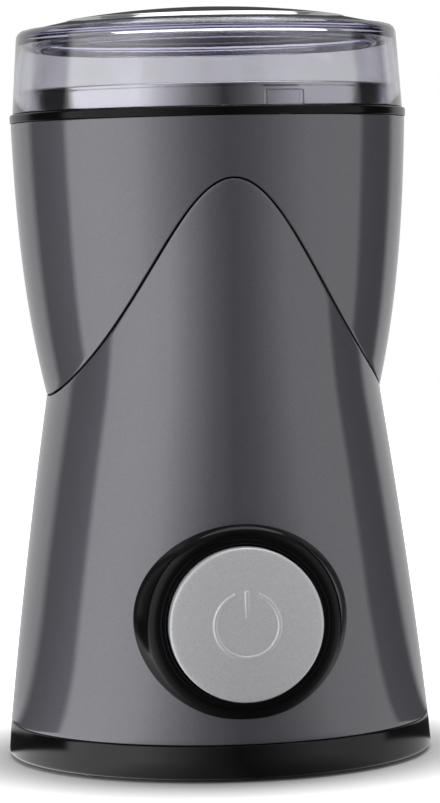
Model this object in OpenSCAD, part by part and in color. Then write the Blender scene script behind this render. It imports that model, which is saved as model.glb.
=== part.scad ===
// Electric spice grinder with a push button, a lift-off lid and a universal motor.
// Millimetres, +Z up, front towards -Y, origin on the floor under the blade's axis.

/* [Housing] */
// Outer radius of the base at the floor
base_r = 50; // [49:0.5:53]
// Outer radius where the base meets the lower shell
base_top_r = 49.3; // [48.5:0.1:51]
// Height of the joint between base and lower shell
base_top_z = 8.4; // [7.5:0.1:11]
// How far the rubber feet lift the base off the floor
foot_proud = 0.8; // [0.5:0.1:2]
// Height of the waist, where the two shells meet at the sides
waist_z = 85; // [80:0.5:90]
// Half width of the housing at the waist
waist_half_w = 39.1; // [38.6:0.1:42]
// Outward bow of the lower shell's sides
side_bow = 0.5; // [0:0.1:1.5]
// Height of the rounded top of the front and back tongues
tongue_top_z = 134.6; // [128:0.2:138]
// Half width of the oval that the tongues are cut from
tongue_half_w = 36.6; // [36:0.1:38]
// Height of the upper shell's top edge
shell_top_z = 148.6; // [146:0.2:156]
// Rounded part of the upper shell's outward flare
flare = 4.9; // [4.5:0.1:5.6]
// Straight part of the upper shell's outward flare
lean = 2.2; // [2:0.1:3]
// Wall of the lower shell
lower_wall = 2.2; // [1.8:0.1:2.6]
// Wall of the upper shell
upper_wall = 2; // [1.6:0.1:2.2]
// Wall of the base
base_wall = 2.9; // [2.4:0.1:3.4]
// Floor of the base
base_floor = 2.2; // [2:0.1:3]
// Height of the base's inner rim, which centres the lower shell
spigot_h = 3.1; // [2.5:0.1:4]

/* [Ring and lid] */
// How far the black ring stands out past the upper shell
ring_proud = 0.2; // [0:0.1:0.6]
// Height of the ring's visible band
ring_h = 2; // [1.8:0.1:3]
// Thickness of the ring's inner web
web_t = 2.7; // [2.5:0.1:3.2]
// Outer radius of the lid at its lower edge
lid_r = 45.7; // [45.4:0.1:46]
// Outer radius of the lid at its shoulder
lid_top_r = 44.45; // [44.2:0.05:44.8]
// Height of the lid's side from its edge to its rounded shoulder
lid_side_h = 17.7; // [16:0.1:22]
// Radius of the lid's rounded shoulder
shoulder_r = 1.5; // [1:0.1:2.5]
// Rise of the lid's top from the shoulder to the disc
lid_crown = 2.35; // [2:0.05:4]
// Wall of the lid
lid_wall = 1.4; // [1.2:0.05:1.4]
// Thickness of the lid's top
lid_top_t = 2; // [1.6:0.1:2.6]
// Outer radius of the lid's inner skirt
skirt_r = 40.2; // [39.5:0.1:41]
// Wall of the lid's inner skirt
skirt_t = 1.8; // [1.4:0.1:2.2]
// Length of the lid's inner skirt below the ceiling
skirt_h = 3.6; // [3.2:0.1:5]
// Radius of the metal disc in the lid
disc_r = 33; // [30:0.5:35]
// Thickness of the metal disc
disc_t = 0.8; // [0.6:0.1:1]
// Height of the disc's crown
disc_crown = 2.65; // [1.5:0.05:3]

/* [Bowl and blade] */
// Gap between the bowl's rolled rim and the inside of the lid
rim_gap = 0.3; // [0.3:0.05:0.6]
// Height of the collar above the ring
collar_h = 5.4; // [4.5:0.1:7]
// Depth of the bowl from its rim to its underside
bowl_depth = 37.6; // [35:0.2:40]
// Outer radius of the bowl under its shoulder
bowl_top_r = 39.2; // [38.8:0.1:39.3]
// Outer radius of the bowl above its bottom corner
bowl_low_r = 33.5; // [32:0.1:34.5]
// Radius of the bowl's bottom corner
bowl_corner = 6; // [4:0.5:8]
// Thickness of the bowl's sheet
sheet_t = 0.7; // [0.6:0.05:0.9]
// Tip radius of the blade
blade_r = 28; // [24:0.5:29]
// Width of a blade arm
blade_w = 11; // [9:0.5:12]
// Thickness of the blade
blade_t = 1.3; // [1:0.1:1.6]
// Upward bend of the blade's tips in degrees
blade_bend = 24; // [15:1:30]

/* [Button] */
// Height of the button's centre
button_z = 35.6; // [34.5:0.1:36.5]
// Radius of the button cap
button_r = 17.3; // [16:0.1:18]
// How far the button's rim stands out past the bezel
button_proud = 2.5; // [2:0.1:3.5]
// Crown of the button's face
button_crown = 1.1; // [0.6:0.1:1.5]
// Travel of the button
button_travel = 3; // [2:0.1:3]
// Gap between the button and its bezel
button_gap = 0.45; // [0.3:0.05:0.6]
// Mean radius of the raised sign on the button
sign_r = 7.25; // [6:0.05:9]
// Width of the sign's lines
sign_w = 1.3; // [1:0.1:2]
// How far the sign stands out past the button's crown
sign_proud = 0.1; // [0.05:0.05:0.3]
// How far the bezel's lip stands out past the housing's front line
bezel_proud = 1.5; // [1.2:0.1:2]
// Radial width of the bezel's front lip
lip_w = 1.3; // [1:0.1:1.6]
// Radius of the bezel's rounded shoulder
bezel_round = 2.4; // [1.5:0.1:2.5]
// Wall of the bezel's tube
bezel_wall = 2.25; // [2:0.05:2.6]
// Radius of the bezel's outline where it meets the housing's front line
bezel_r = 21.9; // [21.5:0.1:22.5]
// Outward slope of the bezel's side in mm of radius per mm of depth
bezel_slope = 0.32; // [0.28:0.01:0.36]

/* [Chassis] */
// Outer radius of the chassis tube
tube_r = 35.4; // [34.8:0.1:35.8]
// Wall of the chassis tube
tube_wall = 2.2; // [1.8:0.1:2.6]
// Distance of the front pad's face from the blade axis
pad_front = 36; // [35.6:0.1:36.4]
// Half width of the front pad
pad_half_w = 22; // [21:0.5:23]
// Thickness of the front pad
pad_t = 2.8; // [2.2:0.1:3]
// Thickness of the deck
deck_t = 2.5; // [2.2:0.1:3]
// Radius of the deck
deck_r = 40.8; // [40:0.1:41]
// Wall of the cup that holds the bowl
cup_wall = 1.5; // [1.2:0.1:1.6]

/* [Motor] */
// Radius of the shaft
shaft_r = 3; // [2.5:0.1:3.5]
// Width of the stator stack from side to side
stator_w = 56; // [52:1:58]
// Depth of the stator stack from front to back
stator_d = 52; // [51:1:54]
// Height of the stator stack
stator_h = 24; // [20:1:26]
// Radius of the armature
armature_r = 15; // [14:0.1:15.2]
// Air gap between armature and poles
air_gap = 0.6; // [0.4:0.05:0.8]
// Number of armature slots
armature_slots = 12; // [10:2:14]
// Radius of the commutator
commutator_r = 9.5; // [8.5:0.1:10]
// Height of the commutator's track
commutator_h = 12; // [10:0.5:13]
// Number of commutator bars
commutator_bars = 24; // [20:4:28]
// Thickness of the motor brackets
bracket_t = 3; // [2.5:0.1:3.5]
// Height of a rubber motor damper
damper_t = 4; // [3:0.5:4.5]
// Length of the pillars above the stator stack
pillar_up = 10; // [9:0.5:11]
// Length of the pillars below the stator stack
pillar_down = 25; // [24:0.5:26]
// Distance of the motor's long screws inside the front and back of the stack
screw_inset = 3.7; // [3.4:0.1:4]
// Distance of the damper screws from the axis
damper_x = 23; // [21:0.5:25]
// Radius of the cooling fan
fan_r = 24; // [20:0.5:26]
// Height of the cooling fan
fan_h = 12; // [10:0.5:12]
// Number of fan blades
fan_blades = 10; // [8:1:12]

/* [Interlock] */
// Angle of the lid's tab to the right of the front, in degrees
tab_angle = 16; // [13:0.5:17]
// Width of the lid's tab in degrees
tab_span = 11.7; // [9:0.1:12]
// Distance of the interlock rod from the axis
rod_at = 41.2; // [41:0.1:41.3]
// Radius of the interlock rod
rod_r = 0.9; // [0.8:0.05:1]
// Travel of the interlock rod
rod_travel = 2; // [1.5:0.1:2]

/* [Inlet] */
// Height of the cord inlet
inlet_z = 18; // [15:0.5:24]
// Radius of the cord inlet's hole
inlet_r = 3.3; // [3:0.1:3.6]

/* [Fits] */
// Gap along the joint between the two shells
seam_gap = 0.35; // [0.2:0.05:0.5]
// Gap between two faces that rest on each other
seat_gap = 0.1; // [0.05:0.01:0.2]
// Radial gap of a running fit
run_gap = 0.05; // [0.02:0.01:0.08]
// Radial gap of a pressed or screwed fit
press_gap = 0.02; // [0:0.01:0.05]
// Gap of a loose fit between two moulded pieces
loose_gap = 0.2; // [0.1:0.05:0.3]

/* [Hidden] */
$fn = 96;

// A little extra so that cuts run past the faces they open.
over = 1;
// Sides and rings of the oval lower shell, and of the sprung wires.
oval_sides = 72;
oval_rings = 10;
wire_sides = 6;
wire_steps = 12;
profile_steps = 14;
seam_steps = 20;
arc_steps = 6;
dome_steps = 12;

// Heights from the lid down to the motor.
ring_z = shell_top_z + seat_gap;
ring_top = ring_z + ring_h;
shoulder_drop = 1.4;
shoulder_z = ring_top - shoulder_drop;
web_top = shoulder_z - seat_gap;
web_z = web_top - web_t;
lid_z = ring_top + seat_gap;
rim_top = ring_top + collar_h;
bowl_z = rim_top - bowl_depth;
gasket_t = 3;
gasket_top = bowl_z - seat_gap;
deck_top = gasket_top - gasket_t;
deck_z = deck_top - deck_t;
upper_bracket_z = deck_z - damper_t - bracket_t;
stator_top = upper_bracket_z - pillar_up;
stator_z = stator_top - stator_h;
lower_bracket_top = stator_z - pillar_down;
lower_bracket_z = lower_bracket_top - bracket_t;
base_z = foot_proud;
floor_z = base_z + base_floor;
cup_top = web_z - loose_gap;

// Shells.
lower_z = base_top_z + seat_gap;
flare_power = 2.6;
ease_power = 2.55;
front_top_r = upper_r(tongue_top_z);
upper_top_r = upper_r(shell_top_z);
ring_r = upper_top_r + ring_proud;
ring_edge = 0.3;
spigot_wall = 1.8;
base_edge = 0.8;
lid_half_slope = atan(lid_crown / (lid_top_r - disc_r));

// Lid.
lid_shoulder_z = lid_z + lid_side_h;
disc_gap = 0.15;
skirt_round = 0.5;
disc_power = 2;
disc_edge_z = lid_shoulder_z + shoulder_r * cos(lid_half_slope) + lid_crown;
disc_top_z = disc_edge_z + disc_crown;
tab_reach = 1.75;
tab_z = ring_top - tab_reach;
tab_r = lid_r - lid_wall + 0.15;
tab_t = 1.05;
tab_root_h = 3.4;
tab_from = 270 + tab_angle - tab_span / 2;

// Bowl.
rim_roll = 0.75;
collar_r = min(lid_inner_r(lid_z), lid_inner_r(rim_top)) - rim_gap - rim_roll + sheet_t / 2;
bowl_shoulder_r = 0.7;
bowl_hole_r = 7.7;
bush_r = 7.5;
cup_gap = 0.5;
ring_bore = bowl_top_r + bowl_shoulder_r + loose_gap;
wall_lean = (bowl_top_r - bowl_low_r) / (shoulder_z - bowl_z - bowl_corner);

// Blade and its drive.
bush_flange_r = 11;
bush_flange_t = 1.8;
nut_h = 3;
nut_flats = 20;
bush_top = bowl_z + sheet_t + nut_h + 0.6;
seal_h = 1.5;
seal_r = 6.5;
hub_z = bush_top + seal_h + 0.4;
hub_h = 2.2;
hub_r = 6.5;
blade_z = hub_z + hub_h;
edge_ground = 1.6;
thread_r = shaft_r - 0.5;
blade_nut_h = 5;
blade_nut_r = 5.5;
shaft_top = blade_z + blade_t + blade_nut_h - 1;

// Button, measured forwards from the blade axis.
bezel_front = half_d(button_z) + bezel_proud;
button_front = bezel_front + button_proud;
bore_r = button_r + button_gap;
bezel_outer = bore_r + bezel_wall;
bezel_back = pad_front + seat_gap;
cap_t = 1.4;
skirt_back = button_front - 6.5;
groove_w = 0.4;
groove_t = 0.35;
sign_opening = 5;
button_rim = 0.5;
shoulder_angle = 84;
carrier_t = 1.8;
carrier_r = button_r - cap_t - 0.2;
carrier_front = button_front - cap_t - 1.2;
stem_r = 2.4;
stem_back = 34.2;
leg_at = 13;
leg_w = 4;
leg_t = 1.6;
barb = 1.4;
spring_r = 4.6;
spring_wire = 0.45;
spring_turns = 4;

// Push switch.
switch_w = 27.8;
switch_h = 10.4;
switch_front = 31;
switch_back = 15;
switch_pin_x = 11.1;
switch_pin_y = 19;
pin_r = 1.5;
plunger_r = 1.5;
plunger_tip = stem_back - seat_gap;
shelf_t = 2;
shelf_wing_d = 8;
shelf_top = button_z - switch_h / 2;
shelf_z = shelf_top - shelf_t;
pad_z = button_z - 23.2;
pad_top = button_z + 22.6;

// Fan and the lower end of the shaft.
fan_gap = 2.4;
fan_top = shelf_z - fan_gap;
fan_z = fan_top - fan_h;
shaft_z = fan_z - 1;

// Motor.
stator_bore = armature_r + air_gap;
shoe_t = 2;
stator_round = 31.5;
neck_half = 9.5;
yoke_x = 6.5;
yoke_y = 7.5;
slot_half_x = stator_w / 2 - yoke_x;
slot_half_y = stator_d / 2 - yoke_y;
motor_screw_y = stator_d / 2 - screw_inset;
damper_r = 4.6;
coil_gap = 0.3;
coil_w = 5.6;
coil_end = 5;
fuse_l = 9;
fuse_r = 1.3;
boss_r = 7.5;
bearing_r = 5.5;
boss_up = 3;
boss_down = 2;
arm_half = 7;
pillar_r = 3.6;
screw_r = 1.6;
screw_head_r = 3;
screw_head_h = 2.2;
head_h = 5.3;
winding_gap = 0.2;
winding_r = armature_r - 1.6;
commutator_z = lower_bracket_top + 3;
brush_z = commutator_z + commutator_h / 2;
brush_gap = 0.2;
brush_w = 5.6;
brush_h = 6.1;
brush_l = 8.8;
holder_wall = 0.8;
holder_from = commutator_r + 2.3;
holder_to = 25;
brush_spring_r = 2.1;
brush_spring_wire = 0.25;

// Interlock.
rod_angle = 270 + tab_angle;
rod_head_top = tab_z - seat_gap;
rod_head_h = 5.4;
rod_head_from = tab_r - 0.1;
rod_head_t = 0.7;
rod_head_span = 4;
rod_arm_z = rod_head_top - 7.4;
rod_arm_h = 2;
eye_z = rod_arm_z - 10.5;
eye_h = 3;
eye_r = 2;
rod_collar_z = eye_z + eye_h + 3;
rod_collar_r = 1.75;
rod_spring_r = 1.35;
rod_spring_wire = 0.2;
relief_r = rod_head_from + rod_head_t + 0.15;
micro_w = 11.2;
micro_d = 5.5;
micro_h = 6.5;
micro_at = 38.6;
micro_plunger_h = 0.8;
micro_pin_x = 3.2;
rod_z = deck_top + micro_h + micro_plunger_h + seat_gap;

// Screws, bosses and feet.
base_boss_at = 36.2;
base_boss_r = 3.6;
base_boss_h = 2;
base_screw_r = 1.4;
base_screw_l = 11;
base_angles = [20, 160, 200, 340];
foot_at = 42.8;
foot_r = 4.8;
foot_pocket = 1;
foot_angles = [45, 135, 225, 315];
ring_screw_at = 41.4;
ring_boss_r = 1.9;
ring_boss_h = 10;
ring_screw_r = 0.9;
ring_head_r = 1.5;
ring_head_h = 1.2;
ring_angles = [0, 120, 240];
bezel_screw_at = (bore_r + bezel_outer) / 2;
bezel_screw_r = 0.7;
bezel_screw_l = 7;
bezel_head_r = 1.5;
bezel_head_h = 1.2;
bezel_angles = [45, 135, 225, 315];

// Cord grommet.
grommet_wall = 1.8;
grommet_lip = 1.5;
grommet_back = 2.5;
grommet_front = 1.2;
grommet_nose = 3.2;

// Air slots in the base, and windows of the chassis tube.
vent_from = 10;
vent_w = 3;
vent_pitch = 7;
vent_span = 46;
vent_angles = [195, 247, 299];
side_window_w = 26;
side_window_h = 40;
rear_window_w = 30;
rear_window_h = 62;
rear_window_z = inlet_z - 6;
front_window_w = 28;
front_window_h = 34;
low_window_w = 12;
low_window_h = 14;

// Circuit board.
board_w = 30;
board_d = 17;
board_t = 1.6;
board_y = 16;
board_lift = 2;
board_z = floor_z + board_lift;
board_top = board_z + board_t;
board_screw_x = board_w / 2 - 3;
board_screw_r = 0.8;
board_screw_l = 3.6;
board_head_r = 1.6;
board_head_h = 1.2;
board_boss_r = 2.2;

// ---------------------------------------------------------------- outlines

function part_of(z, z0, z1) = min(max((z - z0) / (z1 - z0), 0), 1);

// Half width of the lower shell's oval at a height.
function half_w(z) =
    let (t = part_of(z, base_top_z, waist_z), u = part_of(z, waist_z, tongue_top_z))
    z < waist_z
        ? base_top_r + (waist_half_w - base_top_r) * t + 4 * side_bow * t * (1 - t)
        : tongue_half_w + (waist_half_w - tongue_half_w) * pow(1 - u, ease_power);

// Half depth of the lower shell's oval at a height: its front line is straight.
function half_d(z) =
    base_top_r + (front_top_r - base_top_r) * (z - base_top_z) / (tongue_top_z - base_top_z);

// Outer radius of the upper shell at a height.
function upper_r(z) =
    let (t = part_of(z, waist_z, shell_top_z))
    waist_half_w + flare * (1 - pow(1 - t, flare_power)) + lean * t;

// Half width of the tongue where the oval and the round form meet.
function seam_x(z) =
    let (r = upper_r(z), a = half_w(z), b = half_d(z))
    r * sqrt(max(0, min(1, (1 / (r * r) - 1 / (b * b)) / (1 / (a * a) - 1 / (b * b)))));

function seam_z(i) = tongue_top_z - (tongue_top_z - waist_z) * pow(i / seam_steps, 1.7);
function seam_point(i) = [i == 0 ? 0 : seam_x(seam_z(i)), seam_z(i)];
function seam_normal(i) =
    let (d = seam_point(min(i + 1, seam_steps)) - seam_point(i - 1))
    i == 0 ? [0, 1] : [-d[1], d[0]] / norm(d);
function seam_side(grow) = [for (i = [0:seam_steps]) seam_point(i) + grow * seam_normal(i)];

function arc(x, y, r, from, to, steps = arc_steps) =
    [for (i = [0:steps]) let (a = from + (to - from) * i / steps) [x + r * cos(a), y + r * sin(a)]];

function flip(points) = [for (i = [len(points) - 1:-1:0]) points[i]];

// Outer radius of the bowl's wall at a height.
function bowl_r(z) = bowl_top_r - (shoulder_z - z) * wall_lean;

// Inner radius of the lid's side at a height.
function lid_inner_r(z) = lid_r - lid_wall - (lid_r - lid_top_r) * (z - lid_z) / lid_side_h;

// Top of the metal disc at a radius.
function disc_z(r) = disc_top_z - disc_crown * pow(r / disc_r, disc_power);

// ---------------------------------------------------------------- shared shapes

// Oval loft of the lower shell, drawn in by inset.
module oval_loft(inset, z0, z1) {
    zs = [for (k = [0:oval_rings]) z0 + (z1 - z0) * k / oval_rings];
    points = [
        for (z = zs)
            for (i = [0:oval_sides - 1])
                [(half_w(z) - inset) * cos(360 * i / oval_sides),
                 (half_d(z) - inset) * sin(360 * i / oval_sides),
                 z]
    ];
    sides = [
        for (k = [0:oval_rings - 1])
            for (i = [0:oval_sides - 1])
                let (j = (i + 1) % oval_sides, low = k * oval_sides, high = low + oval_sides)
                [low + i, high + i, high + j, low + j]
    ];
    bottom = [for (i = [0:oval_sides - 1]) i];
    top = [for (i = [oval_sides - 1:-1:0]) oval_rings * oval_sides + i];
    polyhedron(points, concat([bottom], sides, [top]), convexity = 4);
}

// Tongue outline pushed through the whole depth, grown by grow and closed off below.
module tongue_block(grow, z_low, half_low) {
    right = seam_side(grow);
    left = [for (p = flip(right)) [-p[0], p[1]]];
    low = [[half_low, waist_z], [half_low, z_low], [-half_low, z_low], [-half_low, waist_z]];
    rotate([90, 0, 0])
        linear_extrude(height = 3 * base_r, center = true)
            polygon(concat(left, right, low));
}

// Wire coil along Z, from z = 0 to length.
module coil(r, wire, length, turns) {
    steps = turns * wire_steps;
    rise = (length - 2 * wire) / steps;
    points = [
        for (k = [0:steps])
            for (s = [0:wire_sides - 1])
                let (a = 360 * k / wire_steps, b = 360 * s / wire_sides, d = r + wire * cos(b))
                [d * cos(a), d * sin(a), wire + rise * k + wire * sin(b)]
    ];
    skin = [
        for (k = [0:steps - 1])
            for (s = [0:wire_sides - 1])
                let (t = (s + 1) % wire_sides, near = k * wire_sides, far = near + wire_sides)
                [near + s, near + t, far + t, far + s]
    ];
    first = [for (s = [wire_sides - 1:-1:0]) s];
    last = [for (s = [0:wire_sides - 1]) steps * wire_sides + s];
    polyhedron(points, concat([first], skin, [last]), convexity = 6);
}

// Part of a ring between two radii and two angles.
module sector(r0, r1, from, span, z, h) {
    rotate([0, 0, from])
        rotate_extrude(angle = span)
            translate([r0, z])
                square([r1 - r0, h]);
}

module ring(r0, r1, z, h) {
    translate([0, 0, z])
        difference() {
            cylinder(r = r1, h = h);
            translate([0, 0, -over])
                cylinder(r = r0, h = h + 2 * over);
        }
}

// Turns a shape's +Z to the front, on the button's axis.
module on_button_axis() {
    translate([0, 0, button_z])
        rotate([90, 0, 0])
            children();
}

// Places copies round the axis.
module around(angles, at) {
    for (a = angles)
        rotate([0, 0, a])
            translate([at, 0, 0])
                children();
}

// Screw with its head up: the head's underside is at z = 0.
module screw(r, length, head_r, head_h) {
    translate([0, 0, -length])
        cylinder(r = r, h = length + head_h / 2);
    difference() {
        cylinder(r = head_r, h = head_h);
        for (a = [0, 90])
            rotate([0, 0, a])
                translate([-head_r * 0.6, -head_r * 0.12, head_h * 0.6])
                    cube([head_r * 1.2, head_r * 0.24, head_h]);
    }
}

// ---------------------------------------------------------------- lid

module lid_profile() {
    wall_points = [[lid_r - lid_wall, lid_z], [lid_r, lid_z]];
    shoulder = arc(lid_top_r - shoulder_r, lid_shoulder_z, shoulder_r, 0, 90 - lid_half_slope);
    steps = profile_steps;
    seat = [for (i = [steps:-1:0]) [disc_r * i / steps, disc_z(disc_r * i / steps) - disc_t - seat_gap]];
    recess = [[disc_r + disc_gap, disc_edge_z], [disc_r + disc_gap, seat[0][1]]];
    ceiling = [for (i = [0:steps]) [disc_r * i / steps, disc_z(disc_r * i / steps) - disc_t - lid_top_t]];
    skirt_top = lid_shoulder_z - shoulder_r;
    skirt_low = ceiling[steps][1] - skirt_h;
    skirt = concat(
        [[skirt_r - skirt_t, ceiling[steps][1]]],
        arc(skirt_r - skirt_t + skirt_round, skirt_low + skirt_round, skirt_round, 180, 270),
        arc(skirt_r - skirt_round, skirt_low + skirt_round, skirt_round, 270, 360),
        [[skirt_r, skirt_top]]);
    inner = arc(lid_top_r - lid_wall - shoulder_r, skirt_top - shoulder_r, shoulder_r, 90, 0);
    polygon(concat(wall_points, shoulder, recess, seat, ceiling, skirt, inner));
}

module lid() {
    color([0.78, 0.78, 0.86, 0.4])
        union() {
            rotate_extrude()
                lid_profile();
            sector(tab_r, tab_r + tab_t, tab_from, tab_span, tab_z, lid_z - tab_z + over);
            sector(lid_inner_r(rim_top), lid_r - lid_wall / 2, tab_from, tab_span, lid_z, tab_root_h);
        }
}

module lid_disc() {
    steps = profile_steps;
    top = [for (i = [0:steps]) [disc_r * i / steps, disc_z(disc_r * i / steps)]];
    under = [for (p = flip(top)) [p[0], p[1] - disc_t]];
    color("silver")
        rotate_extrude()
            polygon(concat(top, under));
}

// ---------------------------------------------------------------- bowl and its seat

// Outer line of the bowl's sheet from the collar to the floor, drawn in by inset.
function bowl_line(inset) =
    let (corner_z = bowl_z + bowl_corner, corner_r = bowl_r(corner_z) - bowl_corner)
    concat(
        [[collar_r - inset, shoulder_z + inset]],
        [[bowl_top_r + bowl_shoulder_r - inset, shoulder_z + inset]],
        [[bowl_top_r - inset, shoulder_z - bowl_shoulder_r + inset / 2]],
        arc(corner_r, corner_z, bowl_corner - inset, 0, -90),
        [[bowl_hole_r, bowl_z + inset]]);

module bowl() {
    meet = acos(sheet_t / 2 / rim_roll);
    rim = arc(collar_r - sheet_t / 2, rim_top - rim_roll, rim_roll, -meet, 180 + meet, dome_steps);
    color("gainsboro")
        rotate_extrude()
            polygon(concat(bowl_line(0), flip(bowl_line(sheet_t)), flip(rim)));
}

module bowl_gasket() {
    color("dimgray")
        ring(bowl_hole_r + loose_gap, bowl_low_r - bowl_corner, deck_top, gasket_t);
}

module bowl_nut() {
    color("silver")
        translate([0, 0, bowl_z + sheet_t + seat_gap])
            difference() {
                cylinder(d = nut_flats / cos(30), h = nut_h, $fn = 6);
                translate([0, 0, -over])
                    cylinder(r = bush_r + press_gap, h = nut_h + 2 * over);
            }
}

module drive_bush() {
    color("ivory")
        difference() {
            union() {
                translate([0, 0, deck_z - bush_flange_t])
                    cylinder(r = bush_flange_r, h = bush_flange_t);
                translate([0, 0, deck_z - over])
                    cylinder(r = bush_r, h = bush_top - deck_z + over);
            }
            translate([0, 0, deck_z - bush_flange_t - over])
                cylinder(r = shaft_r + run_gap, h = bush_top);
        }
}

module shaft_seal() {
    color("dimgray")
        ring(shaft_r + run_gap, seal_r, bush_top + press_gap, seal_h);
}

module trim_ring() {
    outline = [
        [ring_bore, web_z],
        [upper_top_r - upper_wall - loose_gap, web_z],
        [upper_top_r - upper_wall - loose_gap, ring_z],
        [ring_r - ring_edge, ring_z],
        [ring_r, ring_z + ring_edge],
        [ring_r, ring_top - ring_edge],
        [ring_r - ring_edge, ring_top],
        [collar_r + loose_gap, ring_top],
        [collar_r + loose_gap, web_top],
        [ring_bore, web_top]
    ];
    slot_span = tab_span + 1.4;
    color("#1b1b1d")
        difference() {
            rotate_extrude()
                polygon(outline);
            sector(tab_r - loose_gap, tab_r + tab_t + loose_gap, tab_from - 0.7, slot_span,
                   ring_z - over, ring_h + 2 * over);
            around(ring_angles, ring_screw_at) {
                translate([0, 0, web_z - over])
                    cylinder(r = ring_screw_r + press_gap, h = web_t + 2 * over);
                translate([0, 0, web_top - ring_head_h - seat_gap])
                    cylinder(r = ring_head_r + seat_gap, h = ring_head_h + over);
            }
        }
}

module ring_screws() {
    color("silver")
        around(ring_angles, ring_screw_at)
            translate([0, 0, web_top - ring_head_h - seat_gap])
                screw(ring_screw_r, ring_boss_h - 2, ring_head_r, ring_head_h);
}

// ---------------------------------------------------------------- housing

module upper_shell() {
    low_z = waist_z + 0.6;
    zs = [for (i = [0:profile_steps]) low_z + (shell_top_z - low_z) * pow(i / profile_steps, 1.4)];
    outer = [for (z = zs) [upper_r(z), z]];
    inner = [for (z = flip(zs)) [upper_r(z) - upper_wall, z]];
    color("#66666e")
        difference() {
            rotate_extrude()
                polygon(concat(outer, inner));
            tongue_block(seam_gap, waist_z - 5, waist_half_w / 2);
            interlock_relief();
        }
}

// Pocket in the inside of the upper shell for the interlock rod's head.
module interlock_relief() {
    low = rod_arm_z - 1;
    sector(rod_at, relief_r, rod_angle - rod_head_span, 2 * rod_head_span, low,
           shell_top_z - low + over);
}

module lower_shell() {
    color("#66666e")
        difference() {
            intersection() {
                oval_loft(0, lower_z, tongue_top_z);
                tongue_block(0, 0, base_r + over);
            }
            oval_loft(lower_wall, lower_z - over, tongue_top_z + over);
            on_button_axis()
                translate([0, 0, pad_front / 2])
                    cylinder(r = bezel_outer + loose_gap, h = base_r);
            translate([0, base_r / 2, inlet_z])
                rotate([-90, 0, 0])
                    cylinder(r = inlet_r + grommet_wall, h = base_r);
        }
}

module base() {
    inner_r = base_top_r - base_wall;
    spigot_top = base_top_z + spigot_h;
    outline = [
        [0, base_z],
        [base_r - base_edge, base_z],
        [base_r, base_z + base_edge],
        [(base_r + base_top_r) / 2, (base_z + base_top_z) / 2],
        [base_top_r, base_top_z],
        [inner_r, base_top_z],
        [inner_r, spigot_top],
        [inner_r - spigot_wall, spigot_top],
        [inner_r - spigot_wall, floor_z],
        [0, floor_z]
    ];
    color("#1b1b1d")
        difference() {
            union() {
                rotate_extrude()
                    polygon(outline);
                around(base_angles, base_boss_at)
                    translate([0, 0, base_z])
                        cylinder(r = base_boss_r, h = base_floor + base_boss_h);
                for (x = [-1, 1])
                    translate([x * board_screw_x, board_y, base_z])
                        cylinder(r = board_boss_r, h = base_floor + board_lift - seat_gap);
            }
            around(base_angles, base_boss_at) {
                cylinder(r = base_screw_r + press_gap, h = floor_z + base_boss_h + over);
                cylinder(r = screw_head_r + loose_gap, h = base_z + screw_head_h + 0.3);
            }
            around(foot_angles, foot_at)
                cylinder(r = foot_r + seat_gap, h = base_z + foot_pocket);
            vents();
            for (x = [-1, 1])
                translate([x * board_screw_x, board_y, base_z + 1])
                    cylinder(r = board_screw_r + press_gap, h = base_floor + board_lift);
        }
}

// Air outlets in the base's floor, in front of the circuit board.
module vents() {
    for (k = [0:2])
        for (a = vent_angles)
            sector(vent_from + vent_pitch * k, vent_from + vent_pitch * k + vent_w, a, vent_span, 0,
                   floor_z + over);
}

module rubber_feet() {
    color("#2a2a2a")
        around(foot_angles, foot_at) {
            cylinder(r1 = foot_r - 0.4, r2 = foot_r, h = 0.4);
            translate([0, 0, 0.4])
                cylinder(r = foot_r, h = base_z + foot_pocket - 0.4 - seat_gap / 2);
        }
}

module base_screws() {
    color("silver")
        around(base_angles, base_boss_at)
            translate([0, 0, base_z + screw_head_h + 0.2])
                mirror([0, 0, 1])
                    screw(base_screw_r, base_screw_l, screw_head_r, screw_head_h);
}

module cord_grommet() {
    wall_out = half_d(inlet_z);
    wall_in = wall_out - lower_wall;
    neck_r = inlet_r + grommet_wall - seat_gap;
    flange_r = neck_r + grommet_lip;
    bow = wall_out - sqrt(pow(wall_out, 2) - pow(flange_r, 2)) + 2 * seat_gap;
    outline = [
        [inlet_r, wall_in - bow - grommet_back],
        [flange_r, wall_in - bow - grommet_back],
        [flange_r, wall_in - bow],
        [neck_r, wall_in - bow],
        [neck_r, wall_out + 2 * seat_gap],
        [flange_r, wall_out + 2 * seat_gap],
        [flange_r, wall_out + grommet_front],
        [neck_r, wall_out + grommet_nose],
        [inlet_r, wall_out + grommet_nose]
    ];
    color("#2a2a2a")
        translate([0, 0, inlet_z])
            rotate([-90, 0, 0])
                rotate_extrude()
                    polygon(outline);
}

// ---------------------------------------------------------------- button

module bezel() {
    side_r = bezel_r + bezel_slope * (bezel_round - bezel_proud);
    shoulder = arc(side_r - bezel_round, bezel_front - bezel_round, bezel_round, 0,
                   shoulder_angle);
    deep_at = bezel_back + 2;
    deep_r = bezel_r + bezel_slope * (bezel_front - bezel_proud - deep_at);
    lip_r = bore_r + lip_w;
    lip = [
        [lip_r + groove_w, shoulder[arc_steps][1]],
        [lip_r + groove_w, bezel_front - groove_t],
        [lip_r, bezel_front - groove_t],
        [lip_r, bezel_front],
        [bore_r, bezel_front],
        [bore_r, deep_at]
    ];
    color("#0e0e10")
        union() {
            difference() {
                on_button_axis()
                    rotate_extrude()
                        polygon(concat([[bezel_outer, deep_at], [deep_r, deep_at]], shoulder, lip));
                oval_loft(-seat_gap / 2, pad_z / 2, pad_top + pad_z);
            }
            on_button_axis()
                difference() {
                    ring(bore_r, bezel_outer, bezel_back, bezel_front - 0.5 - bezel_back);
                    around(bezel_angles, bezel_screw_at)
                        cylinder(r = bezel_screw_r + press_gap, h = bezel_back + bezel_screw_l - 1);
                }
        }
}

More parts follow.
